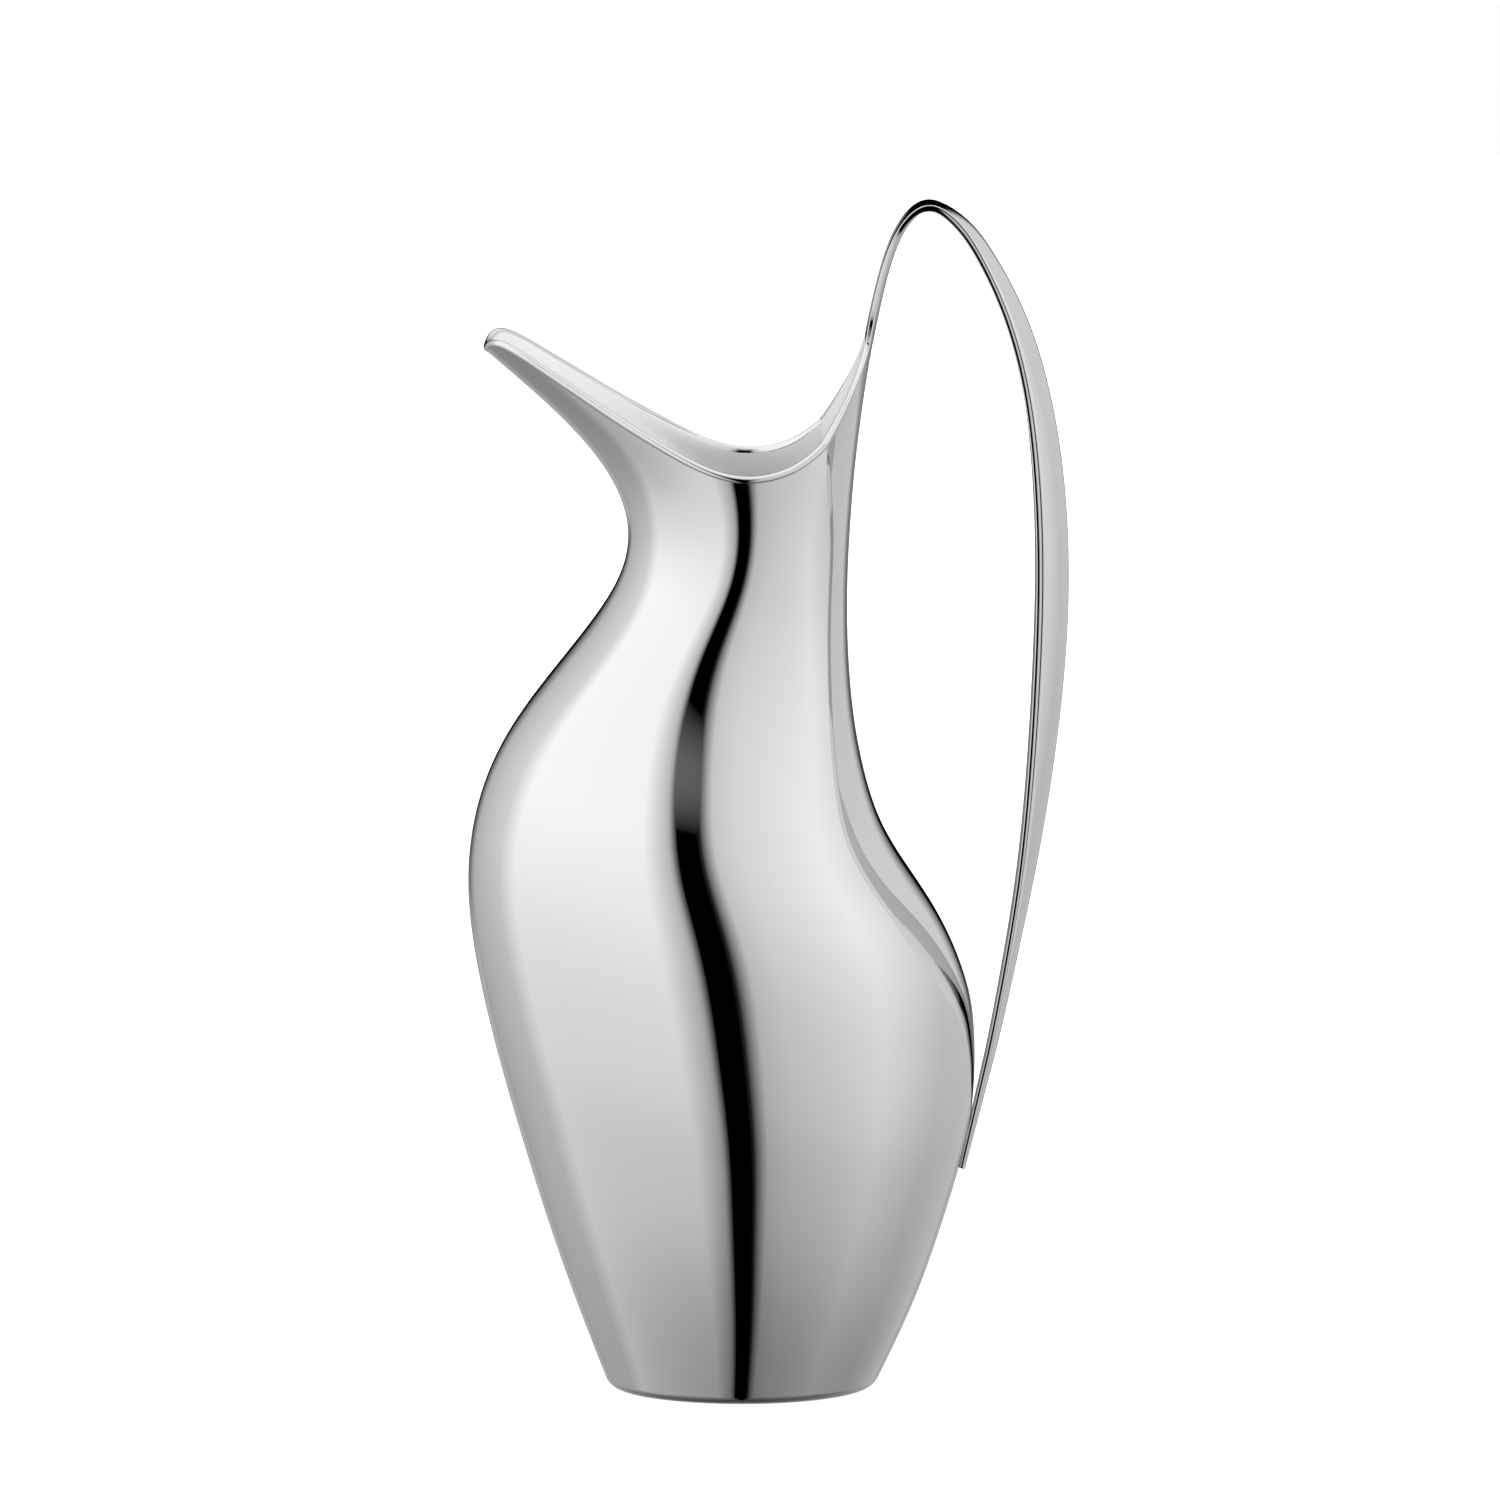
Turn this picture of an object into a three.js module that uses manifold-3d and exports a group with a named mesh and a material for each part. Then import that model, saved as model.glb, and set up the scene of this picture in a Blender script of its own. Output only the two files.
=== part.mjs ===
// A tall water pitcher in polished stainless steel, in millimetres, +Z up.
// The spout points to -X, the handle is at +X, and the XZ plane is its plane of symmetry.
// The origin is the middle of the flat base plate, on the table.
//
// It is pressed sheet, butt-welded edge to edge: a left and a right side shell that meet along the keel,
// a back panel set in between their two back creases, a base plate, and a hollow handle made of
// an inner and an outer skin with a solid foot at its lower end.
import * as THREE from "three";
import { mergeVertices } from "three/addons/utils/BufferGeometryUtils.js";
import Module from "manifold-3d";

// Overall sizes. The outlines below are drawn at DRAWN's sizes and stretched to these.
const HEIGHT = 335; // table to the top of the handle
const LENGTH = 167.4; // front of the belly to the back of the handle
const DEPTH = 104; // across the belly
const DRAWN = { height: 335, length: 167.4, depth: 104 };

// Sheet, joints and edges.
const WALL = 1.2; // side shells, and the back panel in its lower part
const RIM_WALL = 2.2; // side shells and panel at the rim, where the sheet is drawn up thicker
const RIM_BAND = 10; // height over which it thickens
const ROOT_WALL = 1.6; // back panel where it runs up into the handle
const BASE_PLATE = 1.5; // thickness of the base plate
const BASE_TURN = 2.6; // outside radius where the side turns under to the base plate
const WELD_GAP = 0.4; // root gap of every butt-welded joint
const HANDLE_SKIN = 1.0; // sheet of both handle skins
const SKIN_LAP = 0.3; // gap between the two handle skins
const HANDLE_WALL = 1.2; // side walls of the outer handle skin
const FOOT_GAP = 0.3; // between the foot and the back panel

const STEEL = { color: 0xd4d6d8, metalness: 1.0, roughness: 0.06 };
const SATIN = { color: 0xb9bcbf, metalness: 1.0, roughness: 0.35 };

// Smooth curve through points [t, value], as a function of t: a natural cubic spline.
function through(points) {
  const n = points.length;
  const t = points.map((p) => p[0]);
  const v = points.map((p) => p[1]);
  const bend = new Array(n).fill(0);
  const carry = new Array(n).fill(0);
  for (let i = 1; i < n - 1; i++) {
    const before = t[i] - t[i - 1];
    const after = t[i + 1] - t[i];
    const share = before / (before + after);
    const pivot = share * bend[i - 1] + 2;
    const turn = (v[i + 1] - v[i]) / after - (v[i] - v[i - 1]) / before;
    bend[i] = (share - 1) / pivot;
    carry[i] = ((6 * turn) / (before + after) - share * carry[i - 1]) / pivot;
  }
  for (let i = n - 2; i >= 0; i--) bend[i] = bend[i] * (bend[i + 1] ?? 0) + carry[i];
  bend[0] = 0;
  return (at) => {
    let i = 0;
    while (i < n - 2 && at > t[i + 1]) i++;
    const span = t[i + 1] - t[i];
    const b = (at - t[i]) / span;
    const a = 1 - b;
    const curl = ((a ** 3 - a) * bend[i] + (b ** 3 - b) * bend[i + 1]) * (span * span) / 6;
    return a * v[i] + b * v[i + 1] + curl;
  };
}

const stretchZ = HEIGHT / DRAWN.height;
const stretchX = LENGTH / DRAWN.length;
const stretchY = DEPTH / DRAWN.depth;
const lengthwise = (rows) => through(rows.map(([z, x]) => [z * stretchZ, x * stretchX]));
const crosswise = (rows) => through(rows.map(([z, y]) => [z * stretchZ, y * stretchY]));
const plain = (rows) => through(rows.map(([z, value]) => [z * stretchZ, value]));

// Side view: the keel from the base up the belly, in at the waist and out along the spout, as [z, x].
const keelX = lengthwise([
  [0, -36.9], [25, -46.4], [46, -53.6], [68, -60.4], [89, -66.4], [110, -71.6], [128, -74.9], [146, -76.1],
  [160, -74.6], [174, -70.6], [188, -63.5], [203, -52.6], [217, -41.7], [229, -34.2], [241, -31.3], [252, -33.4],
  [266, -41.9], [280, -55.4], [294, -71.5], [300, -78.4],
]);
// Side view: the back, up the belly and neck to the root of the handle.
const backX = lengthwise([
  [0, 37.3], [25, 48.8], [46, 56.2], [62, 61.0], [75, 64.0], [89, 65.4], [96, 65.5], [103, 65.2], [110, 64.4],
  [117, 62.6], [124, 60.1], [131, 56.9], [138, 53.0], [145, 48.4], [152, 43.8], [160, 39.4], [167, 36.7],
  [174, 34.7], [188, 31.9], [203, 30.3], [217, 29.7], [231, 29.8], [245, 30.5], [259, 31.6], [273, 33.2],
  [288, 35.4], [302, 38.0], [310, 39.8],
]);
// How far the side's own oval would reach behind the back panel. The crease is where the two meet.
const overhang = lengthwise([
  [62, 0], [75, 0.22], [92, 0.8], [109, 2.0], [126, 5.0], [143, 7.1], [160, 7.9], [177, 8.0], [190, 7.7],
  [205, 6.3], [218, 5.0], [232, 4.2], [245, 4.4], [256, 6.0], [266, 8.2], [274, 9.5], [290, 10.2], [310, 10.5],
]);
// Front view: half the depth of the side's oval. Above the rim's low point only its nose, the spout, is there.
const halfDepth = crosswise([
  [0, 27.6], [25, 36.4], [46, 42.4], [68, 47.0], [89, 50.3], [110, 51.9], [128, 51.9], [146, 49.9], [160, 47.0],
  [174, 43.2], [188, 39.0], [203, 35.0], [217, 32.1], [231, 30.5], [245, 30.1], [256, 30.6], [266, 31.4],
  [274, 31.8], [280, 31.5], [286, 30.7], [292, 30.0], [300, 29.5],
]);
// How far the side's widest line lies forward of the oval's middle.
const SWEEP = 3.2;
const SWEEP_HEIGHT = 208;
const SWEEP_REACH = 24;
const widest = (z) => -SWEEP * stretchX * Math.exp(-(((z / stretchZ - SWEEP_HEIGHT) / SWEEP_REACH) ** 2));
// The back panel bows out by bow * y * y.
const bow = plain([
  [0, 0.009], [150, 0.009], [176, 0.009], [200, 0.0098], [218, 0.0112], [232, 0.0116], [245, 0.012],
  [256, 0.0127], [266, 0.0133], [273, 0.0136], [280, 0.012], [288, 0.01], [300, 0.009], [310, 0.009],
]);
// Side view: the rim from the spout's lip to the top of the crease, as [x, z].
const rimRows = [
  [-71.6, 294.3], [-70.9, 295.8], [-69.6, 296.8], [-67.9, 297.2], [-65.6, 296.7], [-61.2, 294.6], [-54.5, 290.5],
  [-44.6, 284.3], [-34.6, 278.0], [-24.6, 272.2], [-17.9, 268.5], [-11.3, 265.3], [-4.6, 263.0], [2.0, 262.1],
  [8.7, 262.8], [15.4, 265.2], [20.5, 268.5], [24.4, 272.6],
];
const rimZ = through(rimRows.map(([x, z]) => [x * stretchX, z * stretchZ]));
const LIP_X = rimRows[0][0] * stretchX;
// Back view: half the width of the back panel between the two rims, from the crease's top to the handle.
const rimHalfWidth = crosswise([
  [272.6, 25.2], [275, 23.9], [278.4, 21.8], [282, 19.4], [285.3, 17.1], [288.1, 15.1], [291.2, 12.9],
  [293.6, 11.4], [296.3, 10.1], [300, 8.9],
]);
const ROOT_Z = 296.3 * stretchZ; // where the panel is welded to the handle
const CREASE_FOOT_Z = 62 * stretchZ;

// The side's turn under at the base, as a drawing-in at height z.
function turnUnder(z) {
  const up = Math.max(0, BASE_TURN - z);
  return BASE_TURN - Math.sqrt(Math.max(0, BASE_TURN * BASE_TURN - up * up));
}

// The side's oval at height z: its middle, its half length to the front and back, and its half depth.
function oval(z) {
  const over = z > CREASE_FOOT_Z ? overhang(z) : 0;
  const front = keelX(z);
  const back = backX(z) + over;
  const draw = turnUnder(z);
  return {
    middle: (front + back) / 2,
    reach: (back - front) / 2 - draw,
    depth: halfDepth(z) - draw,
  };
}

// Half the depth of the side at (x, z).
function ovalY(x, z) {
  const o = oval(z);
  const along = Math.min(1, Math.abs(x - o.middle) / o.reach);
  return o.depth * Math.sqrt(1 - along * along);
}

// A point of the side at height z; turn runs from 0 at the keel to 1 at the middle of the back.
function ovalPoint(turn, z) {
  const o = oval(z);
  const angle = Math.PI * turn;
  const forward = widest(z) * Math.sin(angle) ** 2 * (1 - THREE.MathUtils.smoothstep(turn, 0.5, 0.75));
  return new THREE.Vector3(o.middle - o.reach * Math.cos(angle) + forward, o.depth * Math.sin(angle), z);
}

const panelX = (y, z) => backX(z) - bow(z) * y * y;

// The turn at which the side meets the back panel at height z, found by halving.
function creaseTurn(z) {
  if (z <= CREASE_FOOT_Z) return 1;
  let low = 0.55;
  let high = 1;
  for (let i = 0; i < 40; i++) {
    const turn = (low + high) / 2;
    const p = ovalPoint(turn, z);
    if (p.x < panelX(p.y, z)) low = turn;
    else high = turn;
  }
  return (low + high) / 2;
}
const sidePoint = (share, z) => ovalPoint(share * creaseTurn(z), z);
const creaseY = (z) => sidePoint(1, z).y;
const panelPoint = (y, z) => new THREE.Vector3(panelX(y, z), y, z);

// Outward normal of a surface given as point(u, z) in the half where y > 0.
function normalOf(point, u, z, stepU, outward) {
  const across = point(u + stepU, z).sub(point(u - stepU, z));
  const up = point(u, z + 0.2).sub(point(u, z - 0.2));
  const n = across.cross(up).normalize();
  return n.dot(outward) < 0 ? n.negate() : n;
}
function sideNormal(share, z) {
  const s = Math.min(0.999, Math.max(0.002, share));
  const p = sidePoint(s, z);
  const outward = new THREE.Vector3(p.x - oval(z).middle, p.y * 2, 0);
  return normalOf(sidePoint, s, z, 0.001, outward);
}
const panelNormal = (y, z) => normalOf(panelPoint, y, z, 0.1, new THREE.Vector3(1, 0, 0));

// Direction of the mitred joint at the crease, long enough that both walls keep their thickness.
function mitre(z, wall) {
  const side = sideNormal(1, z);
  const m = side.clone().add(panelNormal(creaseY(z), z)).normalize();
  return m.multiplyScalar(wall / Math.max(0.5, m.dot(side)));
}

// One closed sheet from two grids of points, grid[row][column]: its faces, its back and its four edges.
function sheet(front, back) {
  const rows = front.length;
  const columns = front[0].length;
  const corners = [...front.flat(), ...back.flat()];
  const at = (side, r, c) => side * rows * columns + r * columns + c;
  const index = [];
  const quad = (a, b, c, d) => index.push(a, b, c, a, c, d);
  for (let r = 0; r < rows - 1; r++) {
    for (let c = 0; c < columns - 1; c++) {
      quad(at(0, r, c), at(0, r, c + 1), at(0, r + 1, c + 1), at(0, r + 1, c));
      quad(at(1, r, c), at(1, r + 1, c), at(1, r + 1, c + 1), at(1, r, c + 1));
    }
    quad(at(0, r, 0), at(0, r + 1, 0), at(1, r + 1, 0), at(1, r, 0));
    quad(at(0, r, columns - 1), at(1, r, columns - 1), at(1, r + 1, columns - 1), at(0, r + 1, columns - 1));
  }
  for (let c = 0; c < columns - 1; c++) {
    quad(at(0, 0, c), at(1, 0, c), at(1, 0, c + 1), at(0, 0, c + 1));
    quad(at(0, rows - 1, c), at(0, rows - 1, c + 1), at(1, rows - 1, c + 1), at(1, rows - 1, c));
  }
  return facingOut(corners, index);
}

// A BufferGeometry of the corners and triangles, turned round if its faces point inwards.
function facingOut(corners, index) {
  let volume = 0;
  for (let i = 0; i < index.length; i += 3) {
    const [a, b, c] = [corners[index[i]], corners[index[i + 1]], corners[index[i + 2]]];
    volume += a.dot(b.clone().cross(c));
  }
  if (volume < 0) for (let i = 0; i < index.length; i += 3) [index[i], index[i + 1]] = [index[i + 1], index[i]];
  const geometry = new THREE.BufferGeometry();
  geometry.setAttribute("position", new THREE.Float32BufferAttribute(corners.flatMap((p) => p.toArray()), 3));
  geometry.setIndex(index);
  return geometry;
}

const SIDE_COLUMNS = 18;
const SIDE_ROWS = 32;
const TURN_ROWS = 3; // rows in the turn under at the base
const PANEL_COLUMNS = 8; // across the whole panel
const ROOT_ROWS = 8; // rows of the panel above the crease
const PANEL_TIP = 0.3; // the panel's lower point is cut off at this share of its first row

// The rim of one side, from the lip to the crease, as even steps along it: [share of the turn, z].
function rimOfSide(columns) {
  let end = rimRows[rimRows.length - 1][0] * stretchX;
  for (let i = 0; i < 30; i++) end = sidePoint(1, rimZ(end)).x; // where the rim meets the crease
  const fine = [];
  for (let i = 0; i <= 600; i++) {
    const x = LIP_X + (end - LIP_X) * (i / 600) ** 2;
    fine.push(new THREE.Vector3(x, ovalY(x, rimZ(x)), rimZ(x)));
  }
  fine[0].y = 0;
  const run = [0];
  for (let i = 1; i < fine.length; i++) run.push(run[i - 1] + fine[i].distanceTo(fine[i - 1]));
  return Array.from({ length: columns + 1 }, (_, c) => {
    const wanted = (run[run.length - 1] * c) / columns;
    const i = Math.max(1, run.findIndex((r) => r >= wanted - 1e-9));
    const p = fine[i];
    return [c === 0 ? 0 : c === columns ? 1 : shareAt(p.x, p.z), p.z];
  });
}

// The share of the turn at which the side at height z is at x.
function shareAt(x, z) {
  let low = 0;
  let high = 1;
  for (let i = 0; i < 40; i++) {
    const share = (low + high) / 2;
    if (sidePoint(share, z).x < x) low = share;
    else high = share;
  }
  return (low + high) / 2;
}

// The sheet's thickness at a distance below the rim.
const wallBelowRim = (below) => WALL + (RIM_WALL - WALL) * (1 - THREE.MathUtils.smoothstep(below, 0, RIM_BAND));

// Half of the body's side, for y > 0: from the base plate's edge to the rim, and from the keel to the crease.
function sideShell() {
  const rim = rimOfSide(SIDE_COLUMNS);
  const outside = [];
  const inside = [];
  for (let r = 0; r <= TURN_ROWS + SIDE_ROWS; r++) {
    const turning = r < TURN_ROWS;
    const up = turning ? 0 : (r - TURN_ROWS) / SIDE_ROWS;
    const lean = THREE.MathUtils.smoothstep(up, 0.35, 1);
    const outRow = [];
    const inRow = [];
    rim.forEach(([rimShare, rimHeight], c) => {
      const even = c / SIDE_COLUMNS;
      const share = even + (rimShare - even) * lean;
      const angle = (Math.PI / 2) * (r / TURN_ROWS);
      const z = turning ? BASE_TURN * (1 - Math.cos(angle)) : BASE_TURN + (rimHeight - BASE_TURN) * up;
      const p = sidePoint(share, z);
      const wall = wallBelowRim(turning ? RIM_BAND : (rimHeight - BASE_TURN) * (1 - up));
      const n = sideNormal(share, z).multiplyScalar(wall);
      if (r === 0) n.set(0, 0, -WALL);
      const q = p.clone().sub(n);
      if (c === SIDE_COLUMNS && z > CREASE_FOOT_Z) {
        const back = sidePoint(1, z).sub(sidePoint(0.99, z)).normalize().multiplyScalar(WELD_GAP / 2);
        p.sub(back);
        q.copy(p).sub(mitre(z, wall));
      }
      for (const point of [p, q]) point.y = Math.max(point.y, WELD_GAP / 2);
      outRow.push(p);
      inRow.push(q);
    });
    outside.push(outRow);
    inside.push(inRow);
  }
  return sheet(outside, inside);
}

// Height of the side's row r at the crease.
const creaseRowZ = (r, top) => BASE_TURN + ((top - BASE_TURN) * r) / SIDE_ROWS;

// The back panel, across both halves: from its lower point to the root of the handle. Along the crease its
// rows are at the heights of the side's rows, so that both edges of the joint have the same facets.
function panelWall(z, top) {
  const root = THREE.MathUtils.smoothstep(z, top, ROOT_Z);
  return wallBelowRim(Math.max(0, top - z)) * (1 - root) + ROOT_WALL * root;
}
function backPanel() {
  const top = rimOfSide(SIDE_COLUMNS).at(-1)[1];
  const seam = Array.from({ length: SIDE_ROWS + 1 }, (_, r) => creaseRowZ(r, top)).filter((z) => z > CREASE_FOOT_Z);
  const step = seam[1] - seam[0];
  const rows = [[seam[0] - step * (1 - PANEL_TIP), creaseY(seam[0]) * PANEL_TIP], ...seam.map((z) => [z, creaseY(z)])];
  for (let r = 1; r <= ROOT_ROWS; r++) {
    const z = top + ((ROOT_Z - top) * r) / ROOT_ROWS;
    rows.push([z, Math.min(rimHalfWidth(z), creaseY(z))]);
  }
  const outside = [];
  const inside = [];
  for (const [z, width] of rows) {
    const jointed = z <= top + 0.01;
    const half = width - WELD_GAP / 2;
    const outRow = [];
    const inRow = [];
    for (let c = 0; c <= PANEL_COLUMNS; c++) {
      const side = (2 * c) / PANEL_COLUMNS - 1;
      const y = side * half;
      const p = panelPoint(y, z);
      const n = panelNormal(Math.abs(y), z);
      if (Math.abs(side) === 1 && jointed) n.copy(mitre(z, panelWall(z, top)));
      else n.multiplyScalar(panelWall(z, top));
      if (y < 0) n.y = -n.y;
      if (y === 0) n.y = 0;
      outRow.push(p);
      inRow.push(p.clone().sub(n));
    }
    outside.push(outRow);
    inside.push(inRow);
  }
  return sheet(outside, inside);
}

// The base plate: an oval that fills the opening left by the side shells.
function basePlate() {
  const steps = 32;
  const half = Array.from({ length: steps + 1 }, (_, i) => sidePoint(i / steps, 0));
  const middle = oval(0).middle;
  const outline = [...half, ...half.slice(1, -1).reverse().map((p) => new THREE.Vector3(p.x, -p.y, 0))];
  const shape = new THREE.Shape(
    outline.map((p) => {
      const out = new THREE.Vector2(p.x - middle, p.y);
      return out.setLength(out.length() - WELD_GAP).add(new THREE.Vector2(middle, 0));
    }),
  );
  return new THREE.ExtrudeGeometry(shape, { depth: BASE_PLATE, bevelEnabled: false });
}

// Stations of the handle, from its root on the back panel, over the top and down to its foot.
// x, z: the middle of its face towards the hole. half: half its width. side: height of the outer skin's
// side walls. rise: how far its outer face bulges beyond them. crown: how far it is bent towards the hole.
const HANDLE_STATIONS = [
  { x: 36.9, z: 296.3, half: 9.9, side: 0.2, rise: 0.0, crown: 1.1 },
  { x: 38.2, z: 302.6, half: 8.2, side: 0.2, rise: 0.0, crown: 1.1 },
  { x: 40.2, z: 311.5, half: 7.3, side: 0.2, rise: 0.0, crown: 1.1 },
  { x: 42.9, z: 320.6, half: 7.1, side: 0.2, rise: 0.0, crown: 1.1 },
  { x: 46.7, z: 328.3, half: 7.1, side: 0.3, rise: 0.1, crown: 0.8 },
  { x: 52.0, z: 332.5, half: 7.2, side: 0.5, rise: 0.4, crown: 0.3 },
  { x: 57.7, z: 329.6, half: 7.4, side: 0.7, rise: 1.2, crown: 0.0 },
  { x: 63.0, z: 323.2, half: 7.7, side: 0.7, rise: 2.3, crown: 0.0 },
  { x: 69.0, z: 312.0, half: 8.0, side: 0.7, rise: 3.2, crown: 0.0 },
  { x: 74.4, z: 298.0, half: 8.7, side: 0.8, rise: 4.2, crown: 0.0 },
  { x: 78.6, z: 280.0, half: 9.4, side: 0.9, rise: 5.2, crown: 0.0 },
  { x: 81.0, z: 259.0, half: 9.9, side: 1.0, rise: 6.3, crown: 0.0 },
  { x: 82.0, z: 236.0, half: 10.0, side: 1.0, rise: 6.9, crown: 0.0 },
  { x: 81.7, z: 212.0, half: 9.9, side: 1.0, rise: 6.8, crown: 0.0 },
  { x: 80.4, z: 184.0, half: 9.3, side: 0.9, rise: 5.6, crown: 0.0 },
  { x: 78.1, z: 155.0, half: 8.3, side: 0.7, rise: 3.7, crown: 0.0 },
  { x: 74.6, z: 129.0, half: 7.1, side: 0.5, rise: 2.3, crown: 0.0 },
  { x: 70.2, z: 104.0, half: 5.7, side: 0.4, rise: 1.5, crown: 0.0 },
  { x: 67.4, z: 90.5, half: 4.9, side: 0.3, rise: 1.1, crown: 0.0 },
  { x: 64.5, z: 77.5, half: 4.0, side: 0.3, rise: 0.7, crown: 0.0 },
  { x: 61.2, z: 62.6, half: 2.8, side: 0.2, rise: 0.3, crown: 0.0 },
];
const SKIN_FLOOR = HANDLE_SKIN + SKIN_LAP; // where the outer skin starts, above the hole's face
const LAST_STATION = HANDLE_STATIONS.length - 1;
const FOOT_STATION = LAST_STATION - 2; // the foot takes over from the skins here
const HOLLOW_FROM = 7; // stations between which the handle is deep enough to be hollow
const HOLLOW_TO = 16;

const track = {};
for (const key of ["x", "z", "half", "side", "rise", "crown"]) {
  const scale = { x: stretchX, z: stretchZ }[key] ?? 1;
  track[key] = through(HANDLE_STATIONS.map((station, i) => [i, station[key] * scale]));
}

// The handle's frame at station number s: a point on its face towards the hole, and the way out of the hole.
function handleFrame(s) {
  const at = new THREE.Vector3(track.x(s), 0, track.z(s));
  const ahead = new THREE.Vector3(track.x(s + 0.01), 0, track.z(s + 0.01));
  const along = ahead.sub(at).normalize();
  return { at, out: new THREE.Vector3(-along.z, 0, along.x) };
}

// A bar along the handle. profile(s) gives its section at station number s as [y, height above the hole's face].
function bar(from, to, steps, profile) {
  const rings = [];
  for (let i = 0; i <= steps; i++) {
    const s = from + ((to - from) * i) / steps;
    const { at, out } = handleFrame(s);
    const bent = (y) => track.crown(s) * (y / track.half(s)) ** 2;
    rings.push(profile(s).map(([y, h]) => at.clone().addScaledVector(out, h + bent(y)).setY(y)));
  }
  const n = rings[0].length;
  const index = [];
  for (let i = 0; i < steps; i++) {
    for (let k = 0; k < n; k++) {
      const [a, b] = [i * n + k, i * n + ((k + 1) % n)];
      index.push(a, b, b + n, a, b + n, a + n);
    }
  }
  const face = rings[0].map((_, k) => profile(from)[k]).map(([y, h]) => new THREE.Vector2(y, h));
  const lid = THREE.ShapeUtils.triangulateShape(face, []);
  for (const [a, b, c] of lid) index.push(b, a, c, steps * n + a, steps * n + b, steps * n + c);
  return facingOut(rings.flat(), index);
}

// The bulged outer face of the handle, from +half to -half, lowered and drawn in by inset.
function roof(s, inset, wall, count) {
  const half = track.half(s) - wall;
  const edge = SKIN_FLOOR + track.side(s) - inset;
  return Array.from({ length: count + 1 }, (_, i) => {
    const y = half * Math.cos((Math.PI * i) / count);
    return [y, edge + track.rise(s) * (1 - (y / half) ** 2)];
  });
}
const ROOF_STEPS = 8;
const outerProfile = (s) => {
  const h = track.half(s);
  return [...[-h, -h / 2, 0, h / 2, h].map((y) => [y, SKIN_FLOOR]), ...roof(s, 0, 0, ROOF_STEPS)];
};
const hollowProfile = (s) => [
  [-(track.half(s) - HANDLE_WALL), SKIN_FLOOR - 1],
  [track.half(s) - HANDLE_WALL, SKIN_FLOOR - 1],
  ...roof(s, HANDLE_SKIN, HANDLE_WALL, ROOF_STEPS),
];
const innerProfile = (s) => {
  const h = track.half(s);
  const across = [-h, -h / 2, 0, h / 2, h];
  return [...across.map((y) => [y, 0]), ...across.reverse().map((y) => [y, HANDLE_SKIN])];
};

// The foot's face towards the body follows the handle's until it reaches the back panel, then the panel.
function footProfile(s) {
  const h = track.half(s);
  const { at, out } = handleFrame(s);
  const floorAt = (y) => Math.max(0, (panelX(y, at.z) + FOOT_GAP - at.x) / out.x);
  const floor = [-h, -h / 2, 0, h / 2, h].map((y) => [y, floorAt(y)]);
  return [...floor, ...roof(s, 0, 0, ROOF_STEPS)];
}

const wasm = await Module();
wasm.setup();
function solid(geometry) {
  const merged = mergeVertices(geometry.deleteAttribute("normal").deleteAttribute("uv"), 1e-4);
  return new wasm.Manifold(
    new wasm.Mesh({
      numProp: 3,
      vertProperties: merged.getAttribute("position").array,
      triVerts: new Uint32Array(merged.index.array),
    }),
  );
}
function geometryOf(body) {
  const mesh = body.getMesh();
  const geometry = new THREE.BufferGeometry();
  geometry.setAttribute("position", new THREE.BufferAttribute(new Float32Array(mesh.vertProperties), 3));
  return geometry.setIndex(new THREE.BufferAttribute(mesh.triVerts, 1));
}

const ROOT_STATION = WELD_GAP / 6; // leaves the weld gap above the back panel
const FOOT_JOINT = 0.03; // half the gap between skins and foot, in stations
const HANDLE_STEPS = 46;
function handleOuterSkin() {
  const whole = bar(ROOT_STATION, FOOT_STATION - FOOT_JOINT, HANDLE_STEPS, outerProfile);
  const hollow = bar(HOLLOW_FROM, HOLLOW_TO, 30, hollowProfile);
  return geometryOf(solid(whole).subtract(solid(hollow)));
}

const pitcher = new THREE.Group();
function add(name, geometry, finish) {
  const mesh = new THREE.Mesh(geometry, new THREE.MeshStandardMaterial(finish));
  mesh.name = name;
  pitcher.add(mesh);
  return mesh;
}

add("right_side_shell", sideShell(), STEEL);
add("left_side_shell", sideShell(), STEEL).scale.y = -1;
add("back_panel", backPanel(), STEEL);
add("base_plate", basePlate(), SATIN);
add("handle_inner_skin", bar(ROOT_STATION, FOOT_STATION - FOOT_JOINT, HANDLE_STEPS, innerProfile), STEEL);
add("handle_outer_skin", handleOuterSkin(), STEEL);
add("handle_foot", bar(FOOT_STATION + FOOT_JOINT, LAST_STATION, 14, footProfile), STEEL);

export default pitcher;
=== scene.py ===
import math

import bpy
import numpy as np
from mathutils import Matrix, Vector


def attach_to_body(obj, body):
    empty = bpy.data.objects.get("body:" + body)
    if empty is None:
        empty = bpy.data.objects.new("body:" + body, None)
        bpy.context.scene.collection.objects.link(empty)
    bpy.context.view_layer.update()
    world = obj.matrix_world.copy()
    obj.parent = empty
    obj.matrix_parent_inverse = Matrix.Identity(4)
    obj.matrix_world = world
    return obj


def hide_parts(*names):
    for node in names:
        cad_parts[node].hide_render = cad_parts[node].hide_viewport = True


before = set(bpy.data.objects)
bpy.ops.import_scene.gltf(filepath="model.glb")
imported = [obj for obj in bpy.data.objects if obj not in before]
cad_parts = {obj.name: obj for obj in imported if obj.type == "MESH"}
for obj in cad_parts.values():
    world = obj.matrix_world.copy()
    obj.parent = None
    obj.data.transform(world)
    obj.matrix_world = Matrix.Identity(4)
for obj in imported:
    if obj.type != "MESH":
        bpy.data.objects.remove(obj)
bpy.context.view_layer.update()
print("frame loaded:", sorted(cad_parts))

scene = bpy.context.scene
mm = 0.001


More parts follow.
